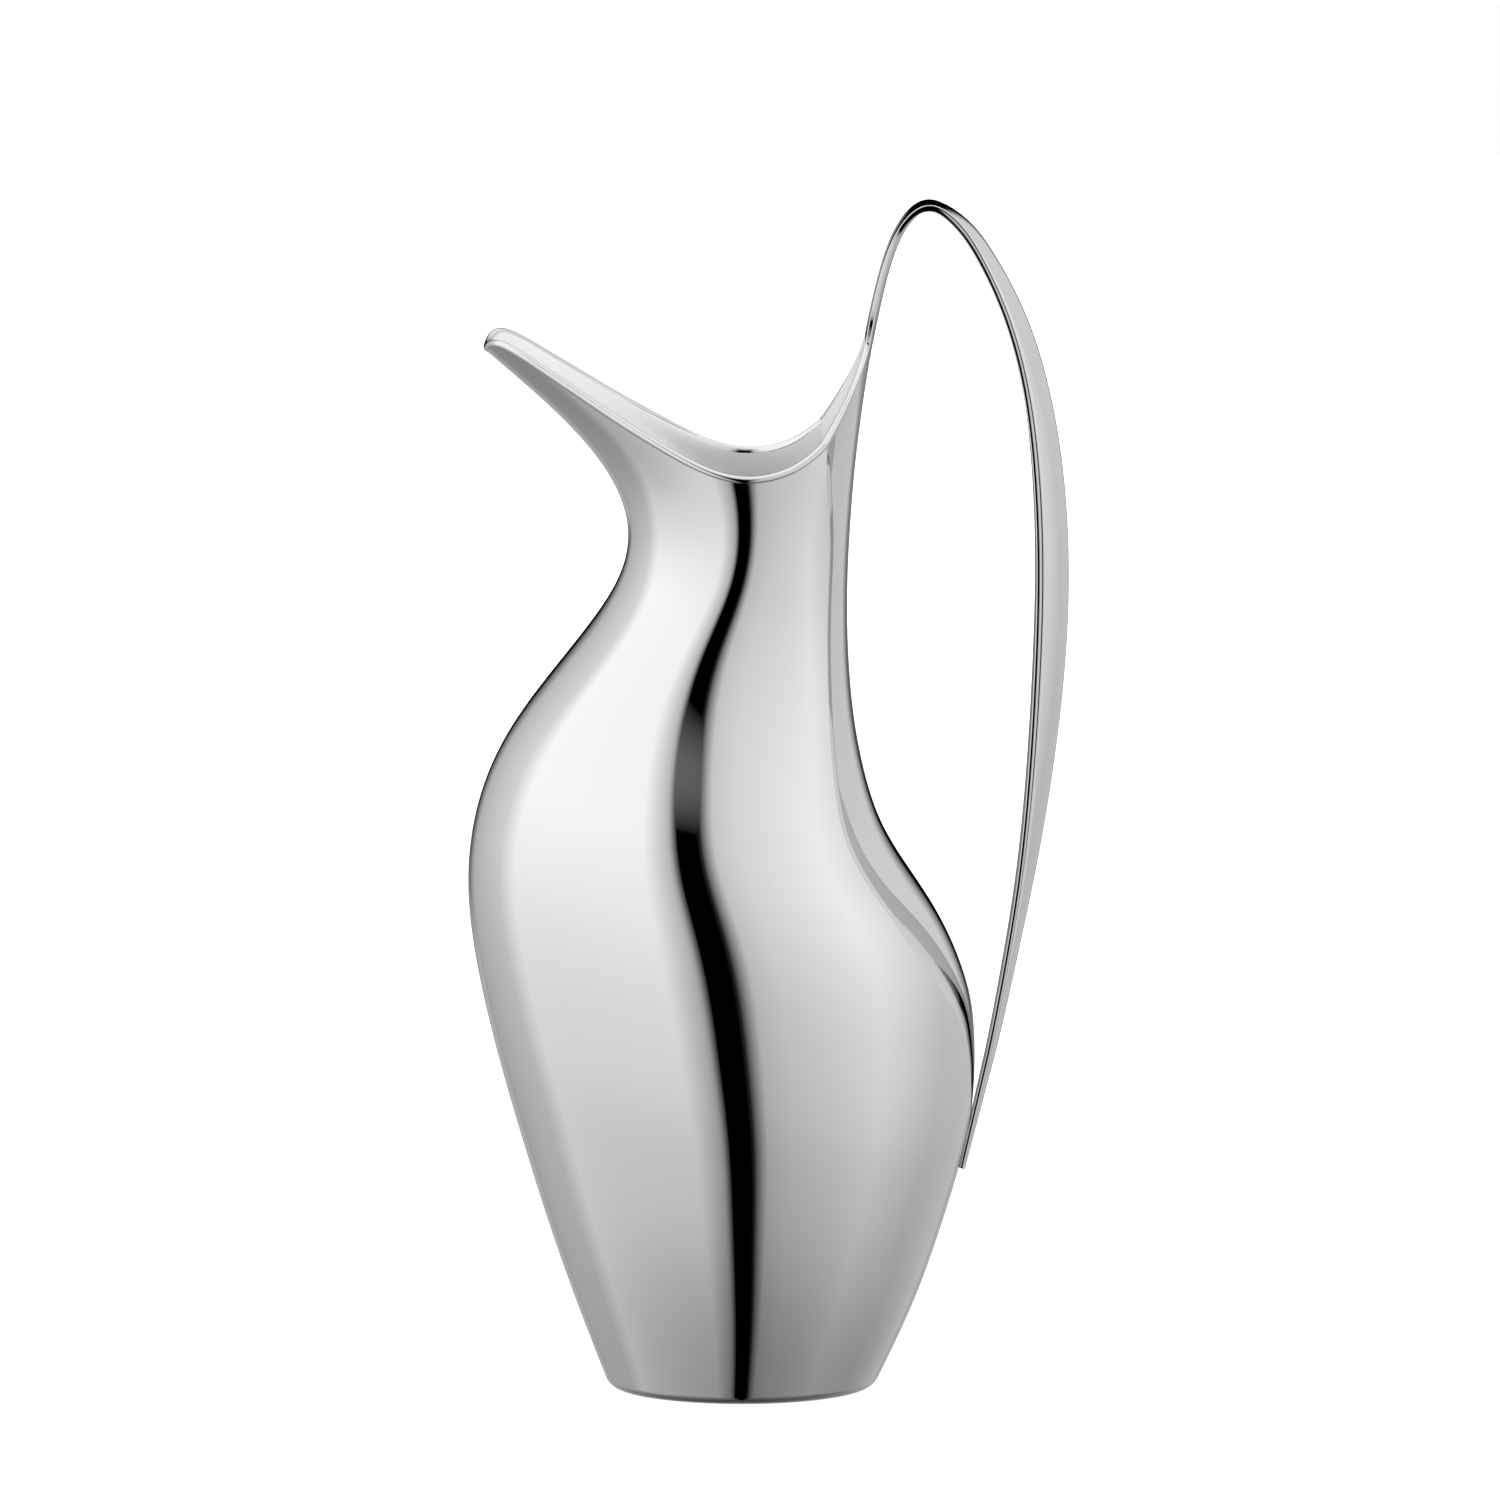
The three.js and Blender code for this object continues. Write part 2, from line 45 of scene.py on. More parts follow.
def fairCurve(rows, reach):
    # smooth curve through [place, value] rows, evened out over "reach" so that reflections run clean
    t, v = np.array(rows, float).T
    n = len(t)
    gap = np.diff(t)
    slope = np.diff(v) / gap
    a = np.eye(n)
    b = np.zeros(n)
    for i in range(1, n - 1):
        a[i, i - 1:i + 2] = gap[i - 1], 2 * (gap[i - 1] + gap[i]), gap[i]
        b[i] = 6 * (slope[i] - slope[i - 1])
    bend = np.linalg.solve(a, b)
    step = reach / 12
    grid = np.arange(t[0] - 8 * reach, t[-1] + 8 * reach, step)
    inside = np.clip(grid, t[0], t[-1])
    i = np.clip(np.searchsorted(t, inside, side="right") - 1, 0, n - 2)
    q = (inside - t[i]) / gap[i]
    p = 1 - q
    dense = p * v[i] + q * v[i + 1]
    dense += ((p**3 - p) * bend[i] + (q**3 - q) * bend[i + 1]) * gap[i] ** 2 / 6
    dense += np.minimum(grid - t[0], 0) * (slope[0] - bend[1] * gap[0] / 6)
    dense += np.maximum(grid - t[-1], 0) * (slope[-1] + bend[-2] * gap[-1] / 6)
    bell = np.exp(-0.5 * (np.arange(-36, 37) / 12) ** 2)
    bell /= bell.sum()
    half = len(bell) // 2

    def even(line):
        before = line[0] + (line[1] - line[0]) * np.arange(-half, 0)
        after = line[-1] + (line[-1] - line[-2]) * np.arange(1, half + 1)
        return np.convolve(np.concatenate([before, line, after]), bell, "valid")

    once = even(dense)
    fair = once + even(dense - once)

    def at(place):
        s = (np.asarray(place, float) - grid[0]) / step
        k = np.clip(np.floor(s).astype(int), 1, len(grid) - 3)
        f = s - k
        a0, a1, a2, a3 = fair[k - 1], fair[k], fair[k + 1], fair[k + 2]
        cubic = 3 * (a1 - a2) + a3 - a0
        return a1 + 0.5 * f * (a2 - a0 + f * (2 * a0 - 5 * a1 + 4 * a2 - a3 + f * cubic))

    return at


def smooth(x, low, high):
    t = np.clip((x - low) / (high - low), 0, 1)
    return t * t * (3 - 2 * t)


def unit(v):
    return v / np.linalg.norm(v, axis=-1, keepdims=True)


def vec(x, y, z):
    return np.stack(np.broadcast_arrays(x, y, z), axis=-1).astype(float)


body = {
    "keel": [  # side view of the front, from the base up the belly, in at the waist and out along the spout
        [0, -36.9], [25, -46.4], [46, -53.6], [68, -60.4], [89, -66.4], [110, -71.6], [128, -74.9],
        [146, -76.1], [160, -74.6], [174, -70.6], [188, -63.5], [203, -52.6], [217, -41.7],
        [229, -34.2], [241, -31.3], [252, -33.4], [266, -41.9], [280, -55.4], [294, -71.5],
        [300, -78.4]],
    "back": [  # side view of the back panel, up to the root of the handle
        [0, 37.3], [25, 48.8], [46, 56.2], [62, 61.0], [75, 64.0], [89, 65.4], [96, 65.5],
        [103, 65.2], [110, 64.4], [117, 62.6], [124, 60.1], [131, 56.9], [138, 53.0], [145, 48.4],
        [152, 43.8], [160, 39.4], [167, 36.7], [174, 34.7], [188, 31.9], [203, 30.3], [217, 29.7],
        [231, 29.8], [245, 30.5], [259, 31.6], [273, 33.2], [288, 35.4], [302, 38.0], [310, 39.8]],
    "overhang": [  # how far the side's oval would reach behind the panel: the two meet in the crease
        [40, 0], [52, 0], [62, 0], [75, 0.22], [92, 0.8], [109, 2.0], [126, 5.0], [143, 7.1],
        [160, 7.9], [177, 8.0], [190, 7.7], [205, 6.3], [218, 5.0], [232, 4.2], [245, 4.4],
        [256, 6.0], [266, 8.2], [274, 9.5], [290, 10.2], [310, 10.5]],
    "halfDepth": [
        [0, 27.6], [25, 36.4], [46, 42.4], [68, 47.0], [89, 50.3], [110, 51.9], [128, 51.9],
        [146, 49.9], [160, 47.0], [174, 43.2], [188, 39.0], [203, 35.0], [217, 32.1], [231, 30.5],
        [245, 30.1], [256, 30.6], [266, 31.4], [274, 31.8], [280, 31.5], [286, 30.7], [292, 30.0],
        [300, 29.5]],
    "bow": [  # the panel bows out by bow * y * y
        [0, 0.009], [150, 0.009], [176, 0.009], [200, 0.0098], [218, 0.0112], [232, 0.0116],
        [245, 0.012], [256, 0.0127], [266, 0.0133], [273, 0.0136], [280, 0.012], [288, 0.01],
        [300, 0.009], [310, 0.009]],
    "rim": [  # side view of the rim as [x, z], from the lip to just past the crease
        [-71.6, 294.3], [-70.9, 295.8], [-69.6, 296.8], [-67.9, 297.2], [-65.6, 296.7],
        [-61.2, 294.6], [-54.5, 290.5], [-44.6, 284.3], [-34.6, 278.0], [-24.6, 272.2],
        [-17.9, 268.5], [-11.3, 265.3], [-4.6, 263.0], [2.0, 262.1], [8.7, 262.8], [15.4, 265.2],
        [20.5, 268.7], [24.4, 272.6], [27.6, 277.2]],
    "rimWidth": [  # half the panel's width above the crease
        [268, 27.7], [270, 26.6], [272.6, 25.2], [275, 23.9], [278.4, 21.8], [282, 19.4],
        [285.3, 17.1], [288.1, 15.1], [291.2, 12.9], [293.6, 11.4], [296.3, 10.1], [300, 8.9]],
    "sweep": 3.2,  # the side's widest line lies this far forward of the oval's middle at the neck's foot
    "sweepHeight": 208,
    "sweepReach": 24,  # and this far up and down the sweep has faded
    "wall": 1.2,
    "rimWall": 1.9,  # the sheet is drawn up thicker to a full round rim
    "rimBand": 10,
    "beadUndercut": 37,  # degrees by which the rim's bead turns in below its widest
    "rootWall": 1.5,
    "baseTurn": 2.6,
    "creaseStep": 0.34,  # the panel's edge lies this much lower than the side's
    "creaseBand": 1.7,  # and is polished to a flat this wide
    "creaseRound": 0.3,
    "creaseFoot": 62,
    "root": 296.3,
    "evenOut": 5.0,  # mm over which the outlines are faired
    "rimEvenOut": 2.0,
}
keelX = fairCurve(body["keel"], body["evenOut"])
backX = fairCurve(body["back"], body["evenOut"] * 0.8)
overhangRaw = fairCurve(body["overhang"], body["evenOut"])
halfDepth = fairCurve(body["halfDepth"], body["evenOut"] * 1.4)
bow = fairCurve(body["bow"], body["evenOut"])
rimWidth = fairCurve(body["rimWidth"], body["rimEvenOut"])


def widest(z):
    return -body["sweep"] * np.exp(-(((z - body["sweepHeight"]) / body["sweepReach"]) ** 2))


def oval(z):
    front = keelX(z)
    foot = body["creaseFoot"]
    back = backX(z) + np.maximum(overhangRaw(z), 0) * smooth(z, foot - 1, foot + 3)
    return (front + back) / 2, (back - front) / 2, halfDepth(z)


def sideAt(turn, z, draw=0.0):
    middle, reach, depth = oval(z)
    angle = np.pi * turn
    forward = widest(z) * np.sin(angle) ** 2 * (1 - smooth(turn, 0.5, 0.75))
    return vec(middle - (reach - draw) * np.cos(angle) + forward, (depth - draw) * np.sin(angle), z)


def sideNormal(turn, z):
    across = sideAt(turn + 1e-4, z) - sideAt(turn - 1e-4, z)
    up = sideAt(turn, z + 0.1) - sideAt(turn, z - 0.1)
    return unit(np.cross(up, across))


def panelX(y, z):
    return backX(z) - bow(z) * y * y


def panelAt(y, z):
    return vec(panelX(y, z), y, z)


def panelNormal(y, z):
    across = panelAt(y + 0.05, z) - panelAt(y - 0.05, z)
    up = panelAt(y, z + 0.1) - panelAt(y, z - 0.1)
    return unit(np.cross(across, up))


def creaseTurn(z):
    z = np.asarray(z, float)
    low = np.full(z.shape, 0.55)
    high = np.ones(z.shape)
    for _ in range(46):
        turn = (low + high) / 2
        p = sideAt(turn, z)
        short = p[..., 0] < panelX(p[..., 1], z)
        low = np.where(short, turn, low)
        high = np.where(short, high, turn)
    return (low + high) / 2


def creaseAt(z):
    return sideAt(creaseTurn(z), z)


def mitreAt(z):
    # into the corner between side and panel, as long as it takes for both walls to keep their thickness
    turn = creaseTurn(z)
    side = sideNormal(turn, z)
    m = unit(side + panelNormal(sideAt(turn, z)[..., 1], z))
    return m / np.maximum(0.5, np.sum(m * side, axis=-1, keepdims=True))


def turnOf(p):
    middle, reach, depth = oval(p[..., 2])
    return np.arctan2(p[..., 1] / depth, (middle - p[..., 0]) / reach) / np.pi


def resample(line, extra, count):
    # "count" + 1 evenly spaced points along a line of points, and the values in "extra" at each
    run = np.concatenate([[0], np.cumsum(np.linalg.norm(np.diff(line, axis=0), axis=1))])
    wanted = np.linspace(0, run[-1], count + 1)
    return [np.interp(wanted, run, e) for e in extra]


bead = math.radians(body["beadUndercut"])
beadRadius = body["rimWall"] / 2 / math.cos(bead)
rimRows = np.array(body["rim"])
rimRun = np.concatenate([[0], np.cumsum(np.linalg.norm(np.diff(rimRows, axis=0), axis=1))])
rimX = fairCurve(np.stack([rimRun, rimRows[:, 0]], 1), 1.2)
rimZ = fairCurve(np.stack([rimRun, rimRows[:, 1]], 1), 1.2)


def sideShoulder(count):
    # turn and height of the side's shoulder, in even steps from the lip to the crease
    low, high = -1.5, 3.0
    for _ in range(50):  # the lip is where the rim leaves the keel
        s = (low + high) / 2
        if rimX(s) > keelX(rimZ(s)):
            high = s
        else:
            low = s
    s = high + (rimRun[-1] - high) * np.linspace(0, 1, 1600) ** 2
    x, z = rimX(s), rimZ(s)
    middle, reach, depth = oval(z)
    y = depth * np.sqrt(np.maximum(0, 1 - ((x - middle) / reach) ** 2))
    y[0] = 0
    line = vec(x, y, z)
    turn = turnOf(line)
    n = sideNormal(turn, z)
    ahead = np.gradient(line, axis=0)
    ahead[0] = [0, 1, 0]
    up = unit(np.cross(unit(ahead), n))
    up = np.where(up[:, 2:] < 0, -up, up)
    lower = line - up * beadRadius * (1 + math.sin(bead))
    turn, z = turnOf(lower), lower[:, 2]
    share = turn / creaseTurn(z)
    last = int(np.argmax(share > 1)) if np.any(share > 1) else len(share) - 1
    part = (1 - share[last - 1]) / (share[last] - share[last - 1])
    zEnd = z[last - 1] + part * (z[last] - z[last - 1])
    share = np.append(share[:last], 1.0)
    z = np.append(z[:last], zEnd)
    line = sideAt(share * creaseTurn(z), z)
    share, z = resample(line, [share, z], count)
    share[0], share[-1] = 0, 1
    return share, z


def panelShoulder(zStart, count):
    # half width and height of the panel's shoulder, from the crease up to the root of the handle
    z = np.linspace(zStart - 2, body["root"], 900)
    w = rimWidth(z)
    line = panelAt(w, z)
    n = panelNormal(w, z)
    up = unit(np.cross(unit(np.gradient(line, axis=0)), n))
    up = np.where(up[:, 1:2] < 0, -up, up)
    lower = line - up * (rimRound(z) / np.cos(beadAt(z)) * (1 + np.sin(beadAt(z))))[:, None]
    y, z = lower[:, 1], lower[:, 2]
    inside = y < creaseAt(z)[:, 1]
    first = int(np.argmax(inside & (z > zStart)))
    y, z = y[first:], z[first:]
    near = np.exp(-(z - z[0]) / 4)
    startY = float(creaseAt(np.array([zStart]))[0, 1])
    y = y + (startY - y[0]) * near
    z = z + (zStart - z[0]) * near
    y, z = resample(panelAt(y, z), [y, z], count)
    z = z + (body["root"] - z[-1]) * smooth(z, z[0], z[-1])
    return y, z


def beadAt(z):
    # the bead's undercut, which runs out towards the handle
    return bead * (1 - smooth(z, 275, body["root"] - 4))


def rimRound(z):
    # radius of the panel's edge: a full round at the crease, a small one where the handle begins
    return 1.1 + (handle["round"] - 1.1) * smooth(z, 276, body["root"] - 2)


def panelWall(z, top):
    low = body["wall"] + (body["rimWall"] - body["wall"]) * smooth(z, top - body["rimBand"], top)
    return low + (body["rootWall"] - low) * smooth(z, top, body["root"])


handle = {
    # x, z of the face towards the hole; half its width; the side's height above the seam; how far the outer
    # face bulges; how far the whole strip is bent across its width
    "stations": [
        [36.9, 296.3, 10.1, 0.2, 0.0, 0.95], [38.2, 302.6, 8.2, 0.2, 0.0, 1.1],
        [40.2, 311.5, 7.3, 0.2, 0.0, 1.1], [42.9, 320.6, 7.1, 0.2, 0.0, 1.1],
        [46.7, 328.3, 7.1, 0.3, 0.1, 0.8], [52.0, 332.5, 7.2, 0.5, 0.4, 0.3],
        [57.7, 329.6, 7.4, 0.7, 1.2, 0.0], [63.0, 323.2, 7.7, 0.7, 2.3, 0.0],
        [69.0, 312.0, 8.0, 0.7, 3.2, 0.0], [74.4, 298.0, 8.7, 0.8, 4.2, 0.0],
        [78.6, 280.0, 9.4, 0.9, 5.2, 0.0], [81.0, 259.0, 9.9, 1.0, 6.3, 0.0],
        [82.0, 236.0, 10.0, 1.0, 6.9, 0.0], [81.7, 212.0, 9.9, 1.0, 6.8, 0.0],
        [80.4, 184.0, 9.3, 0.9, 5.6, 0.0], [78.1, 155.0, 8.3, 0.7, 3.7, 0.0],
        [74.6, 129.0, 7.1, 0.5, 2.3, 0.0], [70.2, 104.0, 5.7, 0.4, 1.5, 0.0],
        [67.4, 90.5, 4.9, 0.3, 1.1, 0.0], [64.5, 77.5, 4.0, 0.3, 0.7, 0.0],
        [61.2, 62.6, 2.8, 0.2, 0.3, 0.0]],
    "round": 0.32,  # edge radius towards the hole
    "roundOut": 1.0,  # edge radius towards the outer face, where the side is tall enough for it
    "leanUp": -0.14,  # radians, how far the sides draw in towards the hole on the way up
    "leanDown": 0.15,  # and on the way down
    "crownLean": 0.13,  # shading of the crowned side, at the hole's edge and at the outer edge
    "crownOut": -0.03,
    "sheet": 1.3,  # height of the side where it has no wall of its own
    "sheetMin": 0.15,
    "seam": 1.15,  # height of the seam between the two skins
    "foot": 18,  # station where the foot takes over
    "steps": 380,
    "footSteps": 60,
}
stationRun = np.arange(len(handle["stations"]), dtype=float)
stationColumns = np.array(handle["stations"]).T
track = [fairCurve(np.stack([stationRun, column], 1), 0.35) for column in stationColumns]


def handleFrame(s):
    at = vec(track[0](s), 0, track[1](s))
    ahead = vec(track[0](s + 0.01), 0, track[1](s + 0.01)) - vec(track[0](s - 0.01), 0, track[1](s - 0.01))
    along = unit(ahead)
    return at, along, vec(-along[..., 2], 0, along[..., 0])


def sideLean(s):
    # the handle's sides draw in a little towards the hole, except over the top
    rising, falling = handle["leanUp"], handle["leanDown"]
    return rising * smooth(s, 0, 1.5) * (1 - smooth(s, 3, 4.5)) + falling * smooth(s, 8, 10.5)


def handleSection(s):
    # rows of [y, height], section normals, for the half with y > 0: hole face, edge, side, edge, outer face
    half, side, rise = [track[k](s)[:, None] for k in (2, 3, 4)]
    rise = np.maximum(rise, 0)
    lean = sideLean(s)[:, None]
    r = handle["round"]
    top = handle["sheet"] + np.maximum(side, handle["sheetMin"])
    lowHeight = r - r * np.sin(lean)
    yEdge = half - np.tan(lean) * (top - lowHeight) - r * np.cos(lean)
    yFace = np.linspace(0, 1, 12)[None, :] * yEdge
    face = [yFace, 0 * yFace], [0 * yFace, -1 + 0 * yFace]
    a = np.linspace(0, 1, 8)[None, 1:] * (math.pi / 2 - lean)
    lowEdge = [yEdge + r * np.sin(a), r - r * np.cos(a)], [np.sin(a), -np.cos(a)]
    tilt = math.pi / 2 - np.arctan2(2 * rise / half, 1)  # how far up the outer face looks at its edge
    shared = 1 + np.cos(tilt + lean)
    q = r + (handle["roundOut"] - r) * smooth(s, 6, 9)[:, None] * smooth(side, 0.25, 0.7)
    edgeY = half - q * (np.cos(lean) + np.cos(tilt)) / shared
    edgeH = top - q * (np.sin(tilt) - np.sin(lean)) / shared
    seam, highHeight = handle["seam"], edgeH - q * np.sin(lean)
    # from the top on, the side is shaded as if very slightly crowned, like pressed sheet
    crowned = smooth(s, 4, 6)[:, None]
    inner = lean + np.maximum(handle["crownLean"] - lean, 0) * crowned
    outer = lean * (1 - crowned) + handle["crownOut"] * crowned
    t = np.linspace(0, 1, 7)[None, 1:]
    h = lowHeight + (seam - lowHeight) * t
    shown = lean * (1 - crowned) + inner * crowned * t**2
    lowSide = [half - np.tan(lean) * (top - h), h], [np.cos(shown), -np.sin(shown)]
    t = np.linspace(0, 1, 10)[None, :]
    h = seam + (highHeight - seam) * t
    shown = inner + (outer - inner) * t**2
    highSide = [half - np.tan(lean) * (top - h), h], [np.cos(shown), -np.sin(shown)]
    b = -lean + np.linspace(0, 1, 8)[None, 1:] * (tilt + lean)
    c = -outer + np.linspace(0, 1, 8)[None, 1:] * (tilt + outer)
    highEdge = [edgeY + q * np.cos(b), edgeH + q * np.sin(b)], [np.cos(c), np.sin(c)]
    startY = highEdge[0][0][:, -1:]
    yRoof = startY * np.cos(np.linspace(0, math.pi / 2, 20))[None, 1:]
    lift = highEdge[0][1][:, -1:] - top - rise * (1 - (startY / half) ** 2)
    hRoof = top + rise * (1 - (yRoof / half) ** 2) + lift
    leanRoof = np.arctan2(2 * rise * yRoof / half**2, 1)
    roof = [yRoof, hRoof], [np.sin(leanRoof), np.cos(leanRoof)]
    return [spread(piece) for piece in (face, lowEdge, lowSide, highSide, highEdge, roof)]


def spread(piece):
    four = np.broadcast_arrays(*piece[0], *piece[1])
    return four[:2], four[2:]


def placeSection(s, pieces):
    # the section pieces in space, with normals that also follow the handle's length
    y = np.concatenate([p[0][0] for p in pieces], axis=1)
    h = np.concatenate([p[0][1] for p in pieces], axis=1)
    ny = np.concatenate([p[1][0] for p in pieces], axis=1)
    nh = np.concatenate([p[1][1] for p in pieces], axis=1)
    half, crown = track[2](s)[:, None], track[5](s)[:, None]
    at, along, out = [v[:, None, :] for v in handleFrame(s)]
    bent = h + crown * (y / half) ** 2
    ny = ny - nh * 2 * crown * y / half**2
    across = np.array([0.0, 1.0, 0.0])
    p = at + out * bent[..., None] + across * y[..., None]
    n = unit(out * nh[..., None] + across * ny[..., None])
    return p, n, along


def sectionNormals(s, build):
    p, n, along = placeSection(s, build(s))
    ahead = placeSection(s + 0.01, build(s + 0.01))[0] - placeSection(s - 0.01, build(s - 0.01))[0]
    n = n - along * (np.sum(n * ahead, -1) / np.sum(along * ahead, -1))[..., None]
    return p, unit(n)


def newPart():
    return {"points": [], "faces": [], "normals": [], "finish": [], "lids": [], "count": 0}


def addPoints(part, grid):
    flat = grid.reshape(-1, 3)
    index = part["count"] + np.arange(len(flat)).reshape(grid.shape[:-1])
    part["points"].append(flat)
    part["count"] += len(flat)
    return index


def addPatch(part, index, normals=None, towards=None, finish=0):
    # quads over a grid of point numbers; without normals the faces are flat, and look "towards"
    points = np.concatenate(part["points"])
    quads = np.stack([index[:-1, :-1], index[:-1, 1:], index[1:, 1:], index[1:, :-1]], -1).reshape(-1, 4)
    corner = points[quads]
    facing = np.cross(corner[:, 2] - corner[:, 0], corner[:, 3] - corner[:, 1])
    if normals is None:
        length = np.linalg.norm(facing, axis=1, keepdims=True)
        flat = facing / np.maximum(length, 1e-12)
        loops = np.repeat(flat[:, None, :], 4, axis=1)
        wrong = np.sum(facing @ np.asarray(towards, float)) < 0
        if wrong:
            loops = -loops
    else:
        loops = np.stack([normals[:-1, :-1], normals[:-1, 1:], normals[1:, 1:], normals[1:, :-1]], -2)
        loops = loops.reshape(-1, 4, 3)
        wrong = np.sum(facing * loops.mean(axis=1)) < 0
    if wrong:
        quads = quads[:, ::-1]
        loops = loops[:, ::-1]
    part["faces"].append(quads)
    part["normals"].append(loops)
    part["finish"].append(np.full(len(quads), finish))


def finishPart(part, name, materials, slotName, *nodes):
    points = np.concatenate(part["points"]) * mm
    faces = np.concatenate(part["faces"]).tolist()
    finish = np.concatenate(part["finish"] + [np.zeros(len(part["lids"]))]).astype(np.int32)
    loops = [np.concatenate(part["normals"]).reshape(-1, 3)]
    for line, normal in part["lids"]:
        faces.append(line)
        loops.append(np.broadcast_to(normal, (len(line), 3)))
    mesh = bpy.data.meshes.new(name)
    mesh.from_pydata(points.tolist(), [], faces)
    mesh.polygons.foreach_set("use_smooth", np.ones(len(faces), bool))
    mesh.polygons.foreach_set("material_index", finish)
    mesh.normals_split_custom_set(unit(np.concatenate(loops)).tolist())
    mesh.update()
    piece = bpy.data.objects.new(name, mesh)
    scene.collection.objects.link(piece)
    attach(piece, materials, slotName, *nodes)
    return piece


def attach(piece, materials, slotName, *nodes):
    for material in materials:
        piece.data.materials.append(material)
    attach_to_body(piece, "root")
    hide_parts(*nodes)


def linear(hexColour):
    parts = [int(hexColour[i:i + 2], 16) / 255 for i in (0, 2, 4)]
    return tuple(c / 12.92 if c <= 0.04045 else ((c + 0.055) / 1.055) ** 2.4 for c in parts) + (1.0,)


def node(tree, kind, links=None, **settings):
    made = tree.nodes.new(kind)
    for key, value in settings.items():
        if key.startswith("in_"):
            name = key[3:]
            made.inputs[int(name) if name.isdigit() else name.replace("_", " ")].default_value = value
        else:
            setattr(made, key, value)
    for socket, source in (links or {}).items():
        tree.links.new(source, made.inputs[socket])
    return made


polish = {
    "colour": "e0e0e0",
    "metallic": 1.0,
    "roughness": (0.012, 0.035),
    "cloudSize": 28,  # mm, patches where the polishing wheel dwelt
    "wheelSize": 0.5,  # mm across the fine lines left by the wheel, drawn coarser than the real 0.05
    "wheelStretch": 0.04,
    "wheelDepth": 0.00005,
}


def polishedSteel(name, values):
    # 18/8 stainless steel, pressed, then mirror polished on a cloth wheel: a clear reflection, a little
    # softer in patches, with hair-fine wheel lines that only show where a bright edge crosses them
    made = bpy.data.materials.new(name)
    made.use_nodes = True
    tree = made.node_tree
    shader = tree.nodes["Principled BSDF"]
    shader.inputs["Base Color"].default_value = linear(values["colour"])
    shader.inputs["Metallic"].default_value = values["metallic"]
    place = node(tree, "ShaderNodeTexCoord")
    cloud = node(tree, "ShaderNodeTexNoise", {"Vector": place.outputs["Object"]},
                 in_Scale=1 / (values["cloudSize"] * mm), in_Detail=3.0, in_Roughness=0.5)
    lines = node(tree, "ShaderNodeMapping", {"Vector": place.outputs["Object"]},
                 in_Rotation=(0.0, math.radians(12), 0.0), in_Scale=(1.0, 1.0, values["wheelStretch"]))
    wheel = node(tree, "ShaderNodeTexNoise", {"Vector": lines.outputs["Vector"]},
                 in_Scale=1 / (values["wheelSize"] * mm), in_Detail=2.0, in_Roughness=0.6)
    both = node(tree, "ShaderNodeMath", {0: wheel.outputs["Fac"], 1: cloud.outputs["Fac"]},
                operation="MULTIPLY")
    low, high = values["roughness"]
    rough = node(tree, "ShaderNodeMapRange", {"Value": both.outputs["Value"]},
                 in_1=0.1, in_2=0.45, in_3=low, in_4=high)
    tree.links.new(rough.outputs["Result"], shader.inputs["Roughness"])
    bump = node(tree, "ShaderNodeBump", {"Height": wheel.outputs["Fac"]},
                in_Strength=1.0, in_Distance=values["wheelDepth"] * mm)
    tree.links.new(bump.outputs["Normal"], shader.inputs["Normal"])
    return made


satin = {
    "colour": "c4c4c2",
    "roughness": (0.28, 0.46),
    "gritLine": 0.35,  # mm, ground lines of 180 grit, drawn about three times as coarse to show
    "lineStretch": 0.02,
    "lineDepth": 0.012,
}


def groundSteel(name, values):
    # the same sheet left as it came off the belt grinder: straight fine lines that smear a highlight
    made = bpy.data.materials.new(name)
    made.use_nodes = True
    tree = made.node_tree
    shader = tree.nodes["Principled BSDF"]
    shader.inputs["Base Color"].default_value = linear(values["colour"])
    shader.inputs["Metallic"].default_value = 1.0
    place = node(tree, "ShaderNodeTexCoord")
    lines = node(tree, "ShaderNodeMapping", {"Vector": place.outputs["Object"]},
                 in_Scale=(values["lineStretch"], 1.0, 1.0))
    grit = node(tree, "ShaderNodeTexNoise", {"Vector": lines.outputs["Vector"]},
                in_Scale=1 / (values["gritLine"] * mm), in_Detail=4.0, in_Roughness=0.7)
    low, high = values["roughness"]
    rough = node(tree, "ShaderNodeMapRange", {"Value": grit.outputs["Fac"]},
                 in_1=0.3, in_2=0.7, in_3=low, in_4=high)
    tree.links.new(rough.outputs["Result"], shader.inputs["Roughness"])
    bump = node(tree, "ShaderNodeBump", {"Height": grit.outputs["Fac"]},
                in_Strength=0.6, in_Distance=values["lineDepth"] * mm)
    tree.links.new(bump.outputs["Normal"], shader.inputs["Normal"])
    return made


# duller than the real mirror inside, where reflections between the walls came out dark and noisy: here a
# paler, less metallic copy of the steel paints the inside evenly bright, a painted reflection that shows
# nothing clearly
inside = dict(polish, colour="f8f8f7", metallic=0.35, roughness=(0.3, 0.33), wheelDepth=0.0)
mirrorSteel = polishedSteel("mirror polished stainless steel", polish)
paintedBrightInsideSteel = polishedSteel("stainless steel inside painted evenly bright", inside)
satinSteel = groundSteel("belt ground stainless steel", satin)
print("materials made")


shell = {"columns": 150, "rows": 220, "turnRows": 8, "arcColumns": 4, "rollPoints": 12}
rimShare, rimHeight = sideShoulder(shell["columns"])
creaseTop = float(rimHeight[-1])
panelHalf, panelHeight = panelShoulder(creaseTop, 44)
print("crease meets the rim at", round(creaseTop, 2))

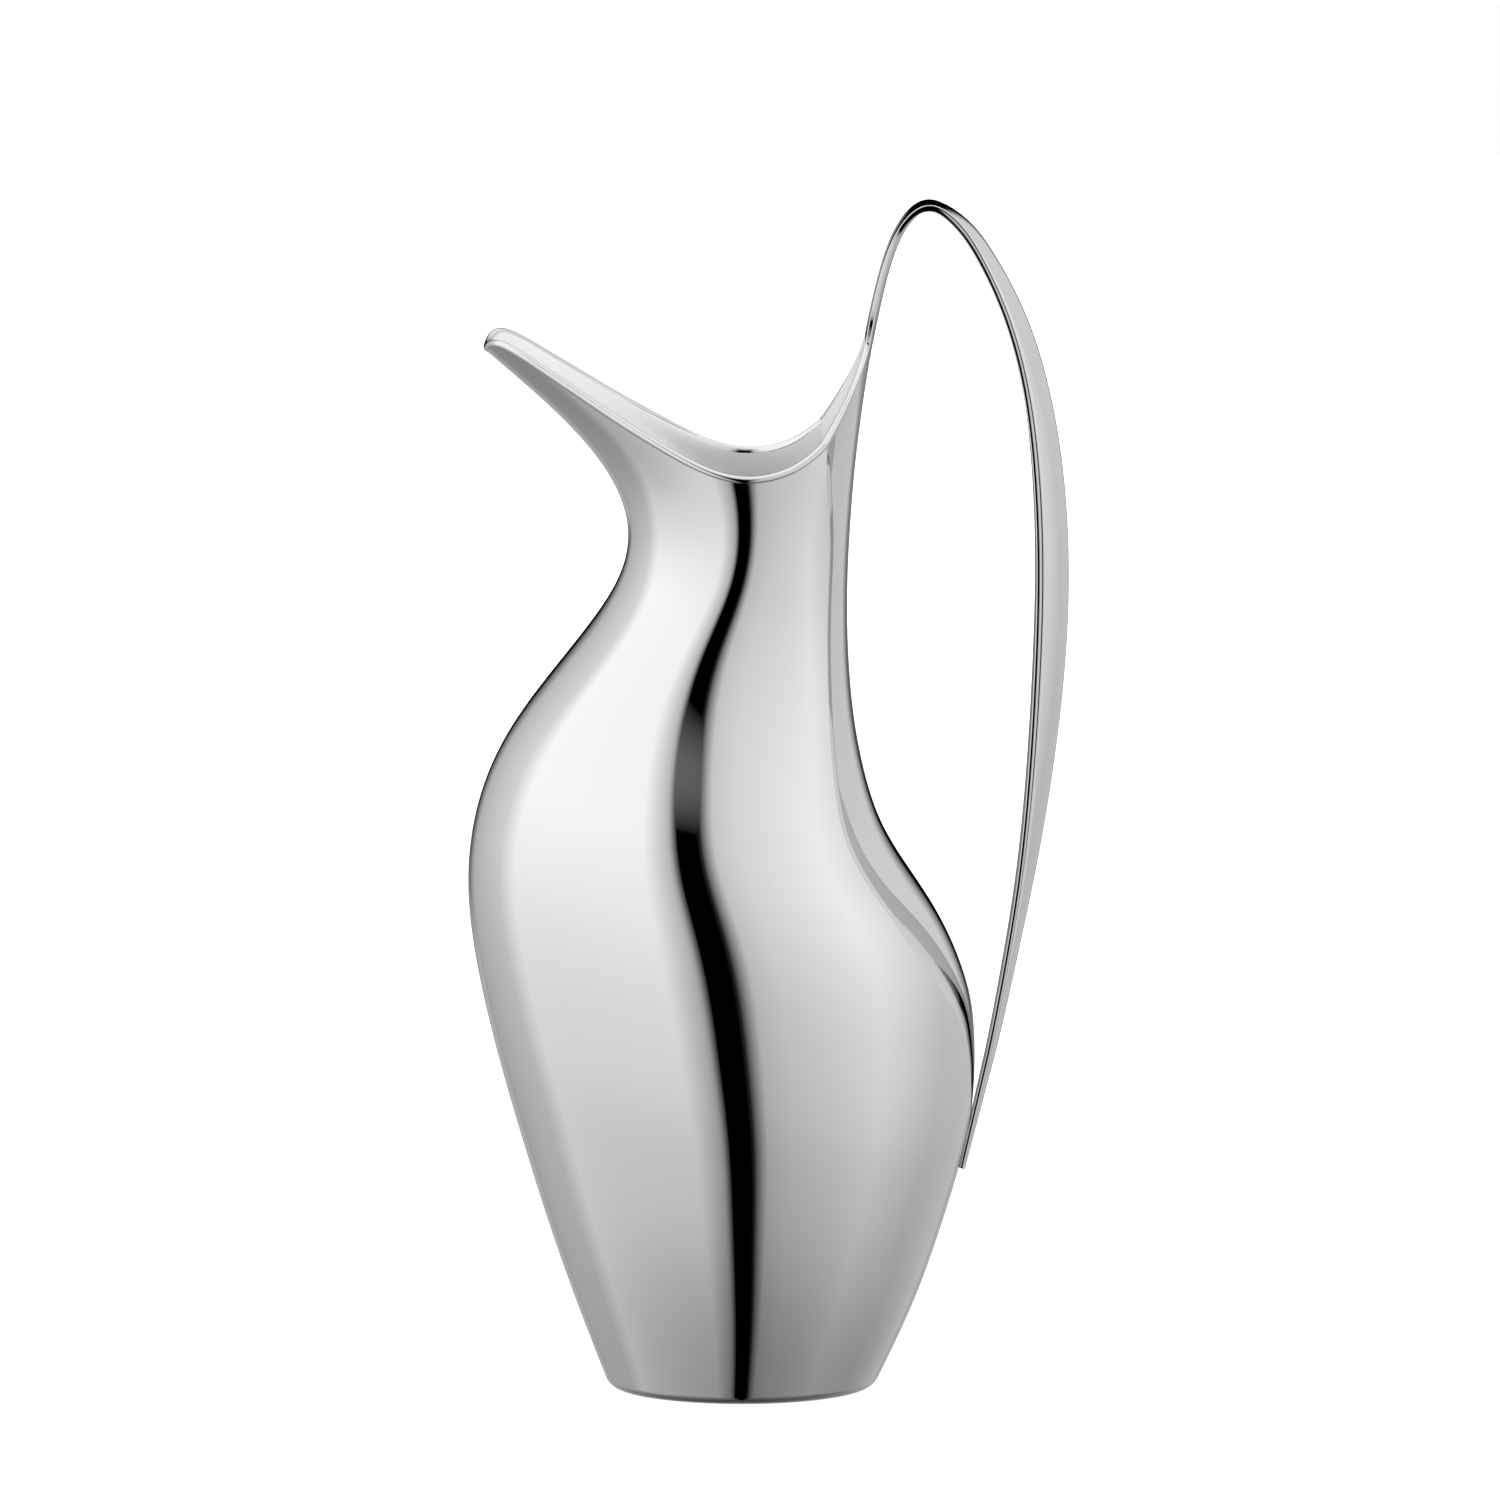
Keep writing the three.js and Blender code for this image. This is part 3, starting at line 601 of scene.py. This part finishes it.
# which way the rim rises where side and panel meet
sideLine = sideAt(rimShare[-4:] * creaseTurn(rimHeight[-4:]), rimHeight[-4:])
sideUp = np.cross(unit(sideLine[-1] - sideLine[0]), sideNormal(creaseTurn(creaseTop), creaseTop))
panelLine = panelAt(panelHalf[:4], panelHeight[:4])
panelUp = np.cross(unit(panelLine[-1] - panelLine[0]), panelNormal(panelHalf[0], panelHeight[0]))
rimCornerRise = unit(sideUp * np.sign(sideUp[2]) + panelUp * np.sign(panelUp[1]))


def creaseFade(z):
    rising = smooth(z, body["creaseFoot"], body["creaseFoot"] + 14)
    return rising * (1 - smooth(z, creaseTop - 9, creaseTop - 1))


def beadSection(phi, middle, crossways, rise, reach, tuck):
    # round outside, tucked in below its widest by "tuck"; a softer quarter turn down to the inside
    outside = phi < math.pi / 2
    radius = reach / np.cos(tuck)
    top = radius * (1 + np.sin(tuck))
    x = np.where(outside, radius * np.cos(phi), reach * np.cos(phi))
    y = np.where(outside, radius * (np.sin(phi) + np.sin(tuck)), top * np.sin(phi))
    nx = np.where(outside, np.cos(phi), np.cos(phi) * top)
    ny = np.where(outside, np.sin(phi), np.sin(phi) * reach)
    return middle + crossways * x + rise * y, unit(crossways * nx + rise * ny)


def sideShell(name, sign):
    turnRows, rows, columns = shell["turnRows"], shell["rows"], shell["columns"]
    even = np.linspace(0, 1, columns + 1)
    up = np.concatenate([np.zeros(turnRows), np.linspace(0, 1, rows + 1)])[:, None]
    quarter = np.concatenate([np.linspace(0, math.pi / 2, turnRows + 1), np.full(rows, math.pi / 2)])
    quarter = quarter[:, None]
    lean = smooth(up, 0.3, 1)
    share = even[None, :] + (rimShare - even)[None, :] * lean
    turnHeight = body["baseTurn"]
    z = turnHeight * (1 - np.cos(quarter)) + (rimHeight[None, :] - turnHeight) * up
    draw = turnHeight * (1 - np.sin(quarter)) * np.ones_like(z)
    turn = share * creaseTurn(z)
    outer = sideAt(turn, z, draw)
    normal = sideNormal(turn, z)
    normal = unit(normal * np.sin(quarter)[..., None] + np.array([0, 0, -1.0]) * np.cos(quarter)[..., None])
    normal[:, 0, 1] = 0
    outer[:, 0, 1] = 0
    below = np.linalg.norm(outer - outer[-1:], axis=-1)
    wall = body["wall"] + (body["rimWall"] - body["wall"]) * (1 - smooth(below, 0, body["rimBand"]))

    # the edge at the crease, rounded over
    zEdge = z[:, -1]
    back = unit(sideAt(turn[:, -1] + 1e-3, zEdge) - sideAt(turn[:, -1] - 1e-3, zEdge))
    radius = (0.02 + body["creaseRound"] * creaseFade(zEdge))[:, None]
    corner = outer[:, -1].copy()
    edgeNormal = normal[:, -1].copy()
    mitre = mitreAt(zEdge)
    outer[:, -1] = corner - back * radius
    inner = outer - normal * wall[..., None]
    arcs, arcNormals, arcInner = [], [], []
    innerCorner = corner - mitre * wall[:, -1:]
    innerStart = inner[:, -1].copy()
    for k in range(1, shell["arcColumns"] + 1):
        angle = math.radians(75) * k / shell["arcColumns"]
        n = edgeNormal * math.cos(angle) + back * math.sin(angle)
        arcs.append(outer[:, -1] - edgeNormal * radius + n * radius)
        arcNormals.append(n)
        arcInner.append(innerStart + (innerCorner - innerStart) * k / shell["arcColumns"])
    outer = np.concatenate([outer, np.stack(arcs, 1)], axis=1)
    normal = np.concatenate([normal, np.stack(arcNormals, 1)], axis=1)
    inner = np.concatenate([inner, np.stack(arcInner, 1)], axis=1)

    # inside normals lean with the thickening towards the rim
    downRow = np.gradient(inner, axis=0)
    acrossRow = np.gradient(inner, axis=1)
    innerNormal = unit(np.cross(acrossRow, downRow))
    keelRow = innerNormal[:, 0]
    keelRow[:, 1] = 0
    innerNormal[:, 0] = unit(keelRow)
    flip = np.sum(innerNormal * normal, axis=-1, keepdims=True) > 0
    innerNormal = np.where(flip, -innerNormal, innerNormal)
    innerNormal[:, -shell["arcColumns"] - 1:] = innerNormal[:, -shell["arcColumns"] - 3][:, None]
    innerNormal[0], innerNormal[-1] = -normal[0], -normal[-1]

    # the rolled rim
    shoulder, foot = outer[-1], inner[-1]
    along = np.gradient(shoulder, axis=0)
    along[0] = [0, 1, 0]
    along[-shell["arcColumns"] - 1:] = along[-shell["arcColumns"] - 2]
    crossways = unit(shoulder - foot)
    rise = unit(np.cross(unit(along), crossways))
    rise = np.where(rise[:, 2:] < 0, -rise, rise)
    rise[-1] = rimCornerRise
    middle = (shoulder + foot) / 2
    reach = np.linalg.norm(shoulder - foot, axis=1, keepdims=True) / 2
    phi = np.linspace(-bead, math.pi, shell["rollPoints"] + 2)[:, None, None]
    roll, rollNormal = beadSection(phi, middle, crossways, rise, reach, bead)

    part = newPart()
    flipY = np.array([1, sign, 1.0])
    outerId = addPoints(part, outer * flipY)
    rollId = addPoints(part, roll[1:-1] * flipY)
    innerId = addPoints(part, inner * flipY)
    addPatch(part, outerId, normal * flipY)
    addPatch(part, np.concatenate([outerId[-1:], rollId, innerId[-1:]]), rollNormal * flipY)
    # the inner face takes the steel painted evenly bright in place of its reflections
    addPatch(part, innerId, innerNormal * flipY, finish=1)
    addPatch(part, np.stack([outerId[0], innerId[0]]), towards=(0, 0, -1))
    halfRoll = shell["rollPoints"] // 2
    for column, side in ((0, (0, -sign, 0)), (-1, (0.6, 0.3 * sign, 0))):
        outerEdge = np.concatenate([outerId[:, column], rollId[:halfRoll, column]])
        innerEdge = np.concatenate([innerId[:, column], rollId[:halfRoll - 1:-1, column]])
        addPatch(part, np.stack([outerEdge, innerEdge]), towards=side)
    return finishPart(part, name, [mirrorSteel, paintedBrightInsideSteel], "polished_steel", name)


sideShell("right_side_shell", 1)
sideShell("left_side_shell", -1)
print("side shells made")


panel = {
    "rows": 150,
    "bandColumns": [0, 0.5, 1.0, 1.4, 1.55, 1.7, 1.85, 2.0, 2.6],  # mm from the crease
    "columns": 26,
    "edgePoints": 12,
}


def backPanel(name):
    low = np.linspace(0, 1, panel["rows"] + 1) ** 1.15
    z = body["creaseFoot"] + 0.3 + (creaseTop - body["creaseFoot"] - 0.3) * low
    edge = creaseAt(z)[:, 1]
    z = np.concatenate([z, panelHeight])
    edge = np.concatenate([edge, panelHalf])
    jointed = np.arange(len(z)) <= panel["rows"]
    fade = creaseFade(z) * jointed
    wall = panelWall(z, creaseTop)

    # columns: a few at set distances from the crease, the rest evenly spaced to the middle
    edgeBow = bow(z)
    stretch = np.sqrt(1 + (2 * edgeBow * edge) ** 2)
    squeeze = np.minimum(1, edge / 7)
    away = np.array(panel["bandColumns"])[None, :] * squeeze[:, None]
    bandY = edge[:, None] - away / stretch[:, None]
    middleShare = np.linspace(1, 0, panel["columns"] + 1)[None, 1:]
    y = np.concatenate([bandY, bandY[:, -1:] * middleShare], axis=1)
    distance = (edge[:, None] - y) * stretch[:, None]
    zz = np.broadcast_to(z[:, None], y.shape)
    outer = panelAt(y, zz)
    normal = panelNormal(y, zz)
    inner = outer - normal * wall[:, None, None]
    innerNormal = -normal

    # the polished flat along the crease
    step = (body["creaseStep"] * fade)[:, None]
    band = body["creaseBand"] * squeeze[:, None]
    blend = 0.2 * squeeze[:, None]
    left = np.clip(band - distance, 0, None)
    near = np.abs(distance - band) < blend
    drop = np.where(near, (band + blend - distance) ** 2 / (4 * blend), left)
    gain = np.where(near, (band + blend - distance) / (2 * blend), (distance < band) * 1.0)
    outer = outer - normal * (step / band * drop)[..., None]
    towardsEdge = unit(np.stack([-2 * edgeBow[:, None] * y, np.ones_like(y), 0 * y], axis=-1))
    normal = unit(normal + towardsEdge * (step / band * gain)[..., None])
    mitre = mitreAt(np.minimum(z, creaseTop))
    corner = creaseAt(np.minimum(z, creaseTop))
    outer[jointed, 0] = (corner - mitre * (body["creaseStep"] * fade)[:, None])[jointed]
    inner[jointed, 0] = (corner - mitre * wall[:, None])[jointed]

    # the rolled edge above the crease; below it the joint's plain face
    points = panel["edgePoints"]
    radius = rimRound(z)[:, None, None]
    shoulder = outer[:, 0][:, None]
    back = inner[:, 0][:, None]
    depth = np.linalg.norm(shoulder - back, axis=-1, keepdims=True)
    crossways = (shoulder - back) / depth
    radius = np.minimum(radius, depth / 2)
    along = np.gradient(outer[:, 0], axis=0)
    along[panel["rows"] + 1] = outer[panel["rows"] + 2, 0] - outer[panel["rows"] + 1, 0]
    rise = unit(np.cross(unit(along), crossways[:, 0]))
    rise = np.where(rise[:, 1:2] < 0, -rise, rise)
    rise[panel["rows"] + 1] = rimCornerRise
    rise = rise[:, None]
    half = points // 2
    tuck = beadAt(z)[:, None, None]
    radius = radius / np.cos(tuck)
    even = np.linspace(0, 1, points + 2)[None, :, None]
    phi = -tuck + (math.pi + tuck) * even
    inset = radius * np.cos(tuck)
    centre = np.where(phi < math.pi / 2, shoulder - crossways * inset, back + crossways * inset)
    roll, rollNormal = beadSection(phi, centre, crossways, rise, inset, tuck)
    flatFace = shoulder + (back - shoulder) * even
    roll = np.where(jointed[:, None, None], flatFace, roll)

    # the last row is the handle's first section
    outer[-1], normal[-1], roll[-1], rollNormal[-1], inner[-1], innerNormal[-1] = handleStart(y[-1])
    roll = roll[:, 1:-1]

    # both halves in one ring: outer face, edge, inner face, edge
    mirror = np.array([1, -1, 1.0])
    ring = np.concatenate([
        (outer * mirror)[:, :-1], outer[:, ::-1], roll, inner, (inner * mirror)[:, -2::-1],
        (roll * mirror)[:, ::-1]], axis=1)
    faceNormal = np.concatenate([(normal * mirror)[:, :-1], normal[:, ::-1]], axis=1)
    backNormal = np.concatenate([innerNormal, (innerNormal * mirror)[:, -2::-1]], axis=1)
    columns = y.shape[1]
    part = newPart()
    index = addPoints(part, ring)
    start = panel["rows"] + 1
    faceEnd = 2 * columns - 1
    addPatch(part, index[:, :faceEnd], faceNormal)
    # the inner face takes the steel painted evenly bright in place of its reflections
    addPatch(part, index[:, faceEnd + points:2 * faceEnd + points], backNormal, finish=1)
    closed = np.concatenate([index, index[:, :1]], axis=1)
    edges = ((faceEnd - 1, faceEnd + points + 1, 1, rollNormal),
             (2 * faceEnd + points - 1, closed.shape[1], -1, (rollNormal * mirror)[:, ::-1]))
    for a, b, side, edgeNormal in edges:
        addPatch(part, closed[:start, a:b], towards=(-0.3, side, 0))
        addPatch(part, closed[start:, a:b], edgeNormal[start:])
        addPatch(part, closed[start - 1:start + 1, a:b], towards=(0, side, 0.5))
    for row, side in ((0, (0, 0, -1)), (-1, (0, 0, 1))):
        ringRow = index[row]
        middle = np.concatenate([ringRow[:faceEnd], ringRow[faceEnd:faceEnd + half]])
        middle = np.concatenate([ringRow[::-1][:half][::-1], middle])
        other = ringRow[faceEnd + half:2 * faceEnd + points + half][::-1]
        addPatch(part, np.stack([middle, other]), towards=side)
    return finishPart(part, name, [mirrorSteel, paintedBrightInsideSteel], "polished_steel", name)


def handleStart(y):
    # the handle's first section, with its flat faces divided at the panel's columns
    s = np.array([0.0])
    half = float(track[2](0.0))
    r = handle["round"]
    y = y * (half - r) / y[0]
    top = handle["sheet"] + handle["stations"][0][3]
    zero, one = np.zeros((1, len(y))), np.ones((1, len(y)))
    points = panel["edgePoints"]
    phi = np.linspace(0, math.pi, points + 2)
    edgeY = half - r + r * np.sin(phi)
    edgeH = np.where(phi < math.pi / 2, r - r * np.cos(phi), top - r - r * np.cos(phi))
    face = [y[None, :], zero], [zero, -one]
    edge = [edgeY[None, :], edgeH[None, :]], [np.sin(phi)[None, :], -np.cos(phi)[None, :]]
    roof = [y[None, :], zero + top], [zero, one]
    found = [sectionNormals(s, lambda t, piece=piece: [piece]) for piece in (face, edge, roof)]
    return [rows[0] for pair in found for rows in pair]


backPanel("back_panel")
print("back panel made")


def handleBar(name, lower, upper, first, last, steps):
    # a closed bar along the handle: the skin on the hole's side, the outer skin, or both as one
    s = np.linspace(first, last, steps + 1)
    flip = np.array([1, -1, 1.0])

    def pieces(t):
        six = handleSection(t)
        if lower and upper:
            high = [[v[:, 1:] for v in pair] for pair in six[3]]
            return [*six[:3], high, *six[4:]]
        return six[:3] if lower else six[3:]

    line, normal = sectionNormals(s, pieces)
    mesh = newPart()
    if lower and upper:
        ring = np.concatenate([line, (line * flip)[:, -2:0:-1]], axis=1)
        ringNormal = np.concatenate([normal, (normal * flip)[:, -2:0:-1]], axis=1)
        index = addPoints(mesh, ring)
        closed = np.concatenate([index, index[:, :1]], axis=1)
        addPatch(mesh, closed, np.concatenate([ringNormal, ringNormal[:, :1]], axis=1))
    elif lower:
        ring = np.concatenate([(line * flip)[:, :0:-1], line], axis=1)
        index = addPoints(mesh, ring)
        addPatch(mesh, index, np.concatenate([(normal * flip)[:, :0:-1], normal], axis=1))
    else:
        ring = np.concatenate([line, (line * flip)[:, -2::-1]], axis=1)
        index = addPoints(mesh, ring)
        addPatch(mesh, index, np.concatenate([normal, (normal * flip)[:, -2::-1]], axis=1))
    if not (lower and upper):
        # the face along the seam turns from row to row, so it is laid in short lengths
        out = handleFrame(s)[2] * (1 if lower else -1)
        seam = np.stack([index[:, 0], index[:, -1]], axis=1)
        for k in range(steps):
            addPatch(mesh, seam[k:k + 2], towards=out[k])
    along = handleFrame(s)[1]
    addLid(mesh, index[0], -along[0])
    addLid(mesh, index[-1], along[-1])
    return finishPart(mesh, name, [mirrorSteel], "polished_steel", name)


def addLid(part, line, normal):
    points = np.concatenate(part["points"])[line]
    middle = points.mean(axis=0)
    facing = np.cross(points - middle, np.roll(points, -1, axis=0) - middle).sum(axis=0)
    order = line if facing @ normal > 0 else line[::-1]
    part["lids"].append((order.tolist(), normal))


footStation, lastStation = handle["foot"], len(handle["stations"]) - 1
handleBar("handle_inner_skin", True, False, 0, footStation, handle["steps"])
handleBar("handle_outer_skin", False, True, 0, footStation, handle["steps"])
handleBar("handle_foot", True, True, footStation, lastStation, handle["footSteps"])
print("handle made")


base = {"corners": 160, "thick": 1.5, "gap": 0.05, "ring": 3.5, "dish": 0.5, "edge": 0.25}


def basePlate(name):
    middle, reach, depth = [float(v) for v in oval(np.array([0.0]))]
    reach -= body["baseTurn"] + base["gap"]
    depth -= body["baseTurn"] + base["gap"]
    bpy.ops.object.select_all(action="DESELECT")
    bpy.ops.mesh.primitive_cylinder_add(vertices=base["corners"], radius=1, depth=base["thick"] * mm,
                                        location=(middle * mm, 0, base["thick"] * mm / 2))
    plate = bpy.context.object
    plate.name = plate.data.name = name
    plate.scale = (reach * mm, depth * mm, 1)
    bpy.ops.object.transform_apply(location=True, rotation=True, scale=True)
    bpy.ops.object.mode_set(mode="EDIT")
    bpy.ops.mesh.select_mode(type="FACE")
    bpy.ops.mesh.select_all(action="DESELECT")
    bpy.ops.object.mode_set(mode="OBJECT")
    for face in plate.data.polygons:
        face.select = face.normal.z < -0.9
    bpy.ops.object.mode_set(mode="EDIT")
    bpy.ops.mesh.inset(thickness=base["ring"] * mm)
    bpy.ops.mesh.inset(thickness=base["dish"] * 2 * mm)
    bpy.ops.transform.translate(value=(0, 0, base["dish"] * mm))
    bpy.ops.mesh.select_all(action="SELECT")
    bpy.ops.object.mode_set(mode="OBJECT")
    bevel = plate.modifiers.new("edges", "BEVEL")
    bevel.width = base["edge"] * mm
    bevel.segments = 3
    bevel.limit_method = "ANGLE"
    bpy.ops.object.modifier_apply(modifier=bevel.name)
    bpy.ops.object.shade_smooth_by_angle(angle=math.radians(20))
    attach(plate, [satinSteel], "satin_steel", name)


basePlate("base_plate")
print("base plate made")


studio = {
    "floorSize": 6.0,
    "floorColour": "f4f4f3",
    "floorGlow": 0.75,
    "strength": 1.25,
    # two big soft panels with a dark gap between them, a dimmer wall past each and the dark room behind.
    # bearing in degrees: 0 is the camera's side, -90 the spout's side, 90 the handle's
    "walls": [[-180, 0.0], [-165, 0.0], [-145, 0.5], [-105, 0.7], [-90, 1.0], [-20, 0.95], [-9, 0.5],
              [-6, 0.0], [4, 0.0], [10, 0.6], [20, 0.7], [60, 0.9], [100, 0.65], [150, 0.65], [165, 0.0],
              [180, 0.0]],
    "overhead": 0.85,
    "overheadFrom": (20, 50),  # degrees up where the ceiling starts to show and where it has taken over
    "floorBehind": 0.5,
    "floorFrom": (-6, -14),  # the floor behind the pitcher, which the dark room gives way to
    "floorSpread": [[-180, 1], [-150, 1], [-140, 0], [140, 0], [150, 1], [180, 1]],
    # how the light falls off from overhead to underfoot, by degrees up
    "fall": [[-90, 0.05], [-60, 0.2], [-45, 0.4], [-25, 0.7], [0, 0.9], [20, 1.0], [90, 1.0]],
}


def ramp(tree, factor, stops, low, high):
    made = node(tree, "ShaderNodeValToRGB", {"Fac": factor})
    dots = made.color_ramp.elements
    for k, (place, grey) in enumerate(stops):
        dot = dots[k] if k < 2 else dots.new(1.0)
        dot.position = (place - low) / (high - low)
        dot.color = (grey, grey, grey, 1.0)
    return made.outputs["Color"]


def fade(tree, value, start, end):
    made = node(tree, "ShaderNodeMapRange", {"Value": value}, in_1=float(start), in_2=float(end), in_3=0.0,
                in_4=1.0)
    return made.outputs["Result"]


def maths(tree, operation, first, second):
    number = not hasattr(second, "node")
    links = {0: first} if number else {0: first, 1: second}
    made = node(tree, "ShaderNodeMath", links, operation=operation)
    if number:
        made.inputs[1].default_value = second
    return made.outputs["Value"]


def paleFloor():
    bpy.ops.object.select_all(action="DESELECT")
    bpy.ops.mesh.primitive_plane_add(size=studio["floorSize"])
    floor = bpy.context.object
    floor.name = floor.data.name = "floor"
    bpy.ops.object.mode_set(mode="EDIT")
    bpy.ops.mesh.subdivide(number_cuts=4)
    bpy.ops.object.mode_set(mode="OBJECT")
    paper = bpy.data.materials.new("matt white paper sweep")
    paper.use_nodes = True
    shader = paper.node_tree.nodes["Principled BSDF"]
    shader.inputs["Base Color"].default_value = linear(studio["floorColour"])
    shader.inputs["Roughness"].default_value = 0.9
    shader.inputs["Emission Color"].default_value = (1, 1, 1, 1)
    shader.inputs["Emission Strength"].default_value = studio["floorGlow"]
    floor.data.materials.append(paper)
    floor.visible_glossy = False


paleFloor()


def softSurround():
    world = bpy.data.worlds.new("studio")
    scene.world = world
    world.use_nodes = True
    tree = world.node_tree
    tree.nodes.clear()
    place = node(tree, "ShaderNodeTexCoord")
    split = node(tree, "ShaderNodeSeparateXYZ", {"Vector": place.outputs["Generated"]})
    ahead = maths(tree, "MULTIPLY", split.outputs["Y"], -1.0)
    around = maths(tree, "DEGREES", maths(tree, "ARCTAN2", split.outputs["X"], ahead), 0.0)
    bearing = fade(tree, around, -180, 180)
    lift = maths(tree, "DEGREES", maths(tree, "ARCSINE", split.outputs["Z"], 0.0), 0.0)
    walls = ramp(tree, bearing, studio["walls"], -180, 180)
    behind = ramp(tree, bearing, studio["floorSpread"], -180, 180)
    nearFloor = maths(tree, "MULTIPLY", behind, fade(tree, lift, *studio["floorFrom"]))
    lit = maths(tree, "MAXIMUM", walls, maths(tree, "MULTIPLY", nearFloor, studio["floorBehind"]))
    above = maths(tree, "MULTIPLY", fade(tree, lift, *studio["overheadFrom"]), studio["overhead"])
    lit = maths(tree, "MAXIMUM", lit, above)
    fall = ramp(tree, fade(tree, lift, -90, 90), studio["fall"], -90, 90)
    colour = maths(tree, "MULTIPLY", maths(tree, "MULTIPLY", lit, fall), studio["strength"])
    light = node(tree, "ShaderNodeBackground", {"Color": colour}, in_Strength=1.0)
    white = node(tree, "ShaderNodeBackground", in_Color=(1, 1, 1, 1), in_Strength=1.0)
    rays = node(tree, "ShaderNodeLightPath")
    seen = {0: rays.outputs["Is Camera Ray"], 1: light.outputs["Background"], 2: white.outputs["Background"]}
    mix = node(tree, "ShaderNodeMixShader", seen)
    node(tree, "ShaderNodeOutputWorld", {"Surface": mix.outputs["Shader"]})


softSurround()
scene.view_settings.view_transform = "Standard"

view = {"target": (0.00259, 0.0, 0.18086), "distance": 3.5, "rise": 9.3, "frameWidth": 0.41819}
target = Vector(view["target"])
lift = math.radians(view["rise"])
cameraData = bpy.data.cameras.new("camera")
cameraData.sensor_width = 36
cameraData.lens = 36 * view["distance"] / view["frameWidth"]
camera = bpy.data.objects.new("camera", cameraData)
camera.location = target + view["distance"] * Vector((0, -math.cos(lift), math.sin(lift)))
camera.rotation_euler = (math.radians(90) - lift, 0, 0)
scene.collection.objects.link(camera)
scene.camera = camera
print("floor, surround and camera set")
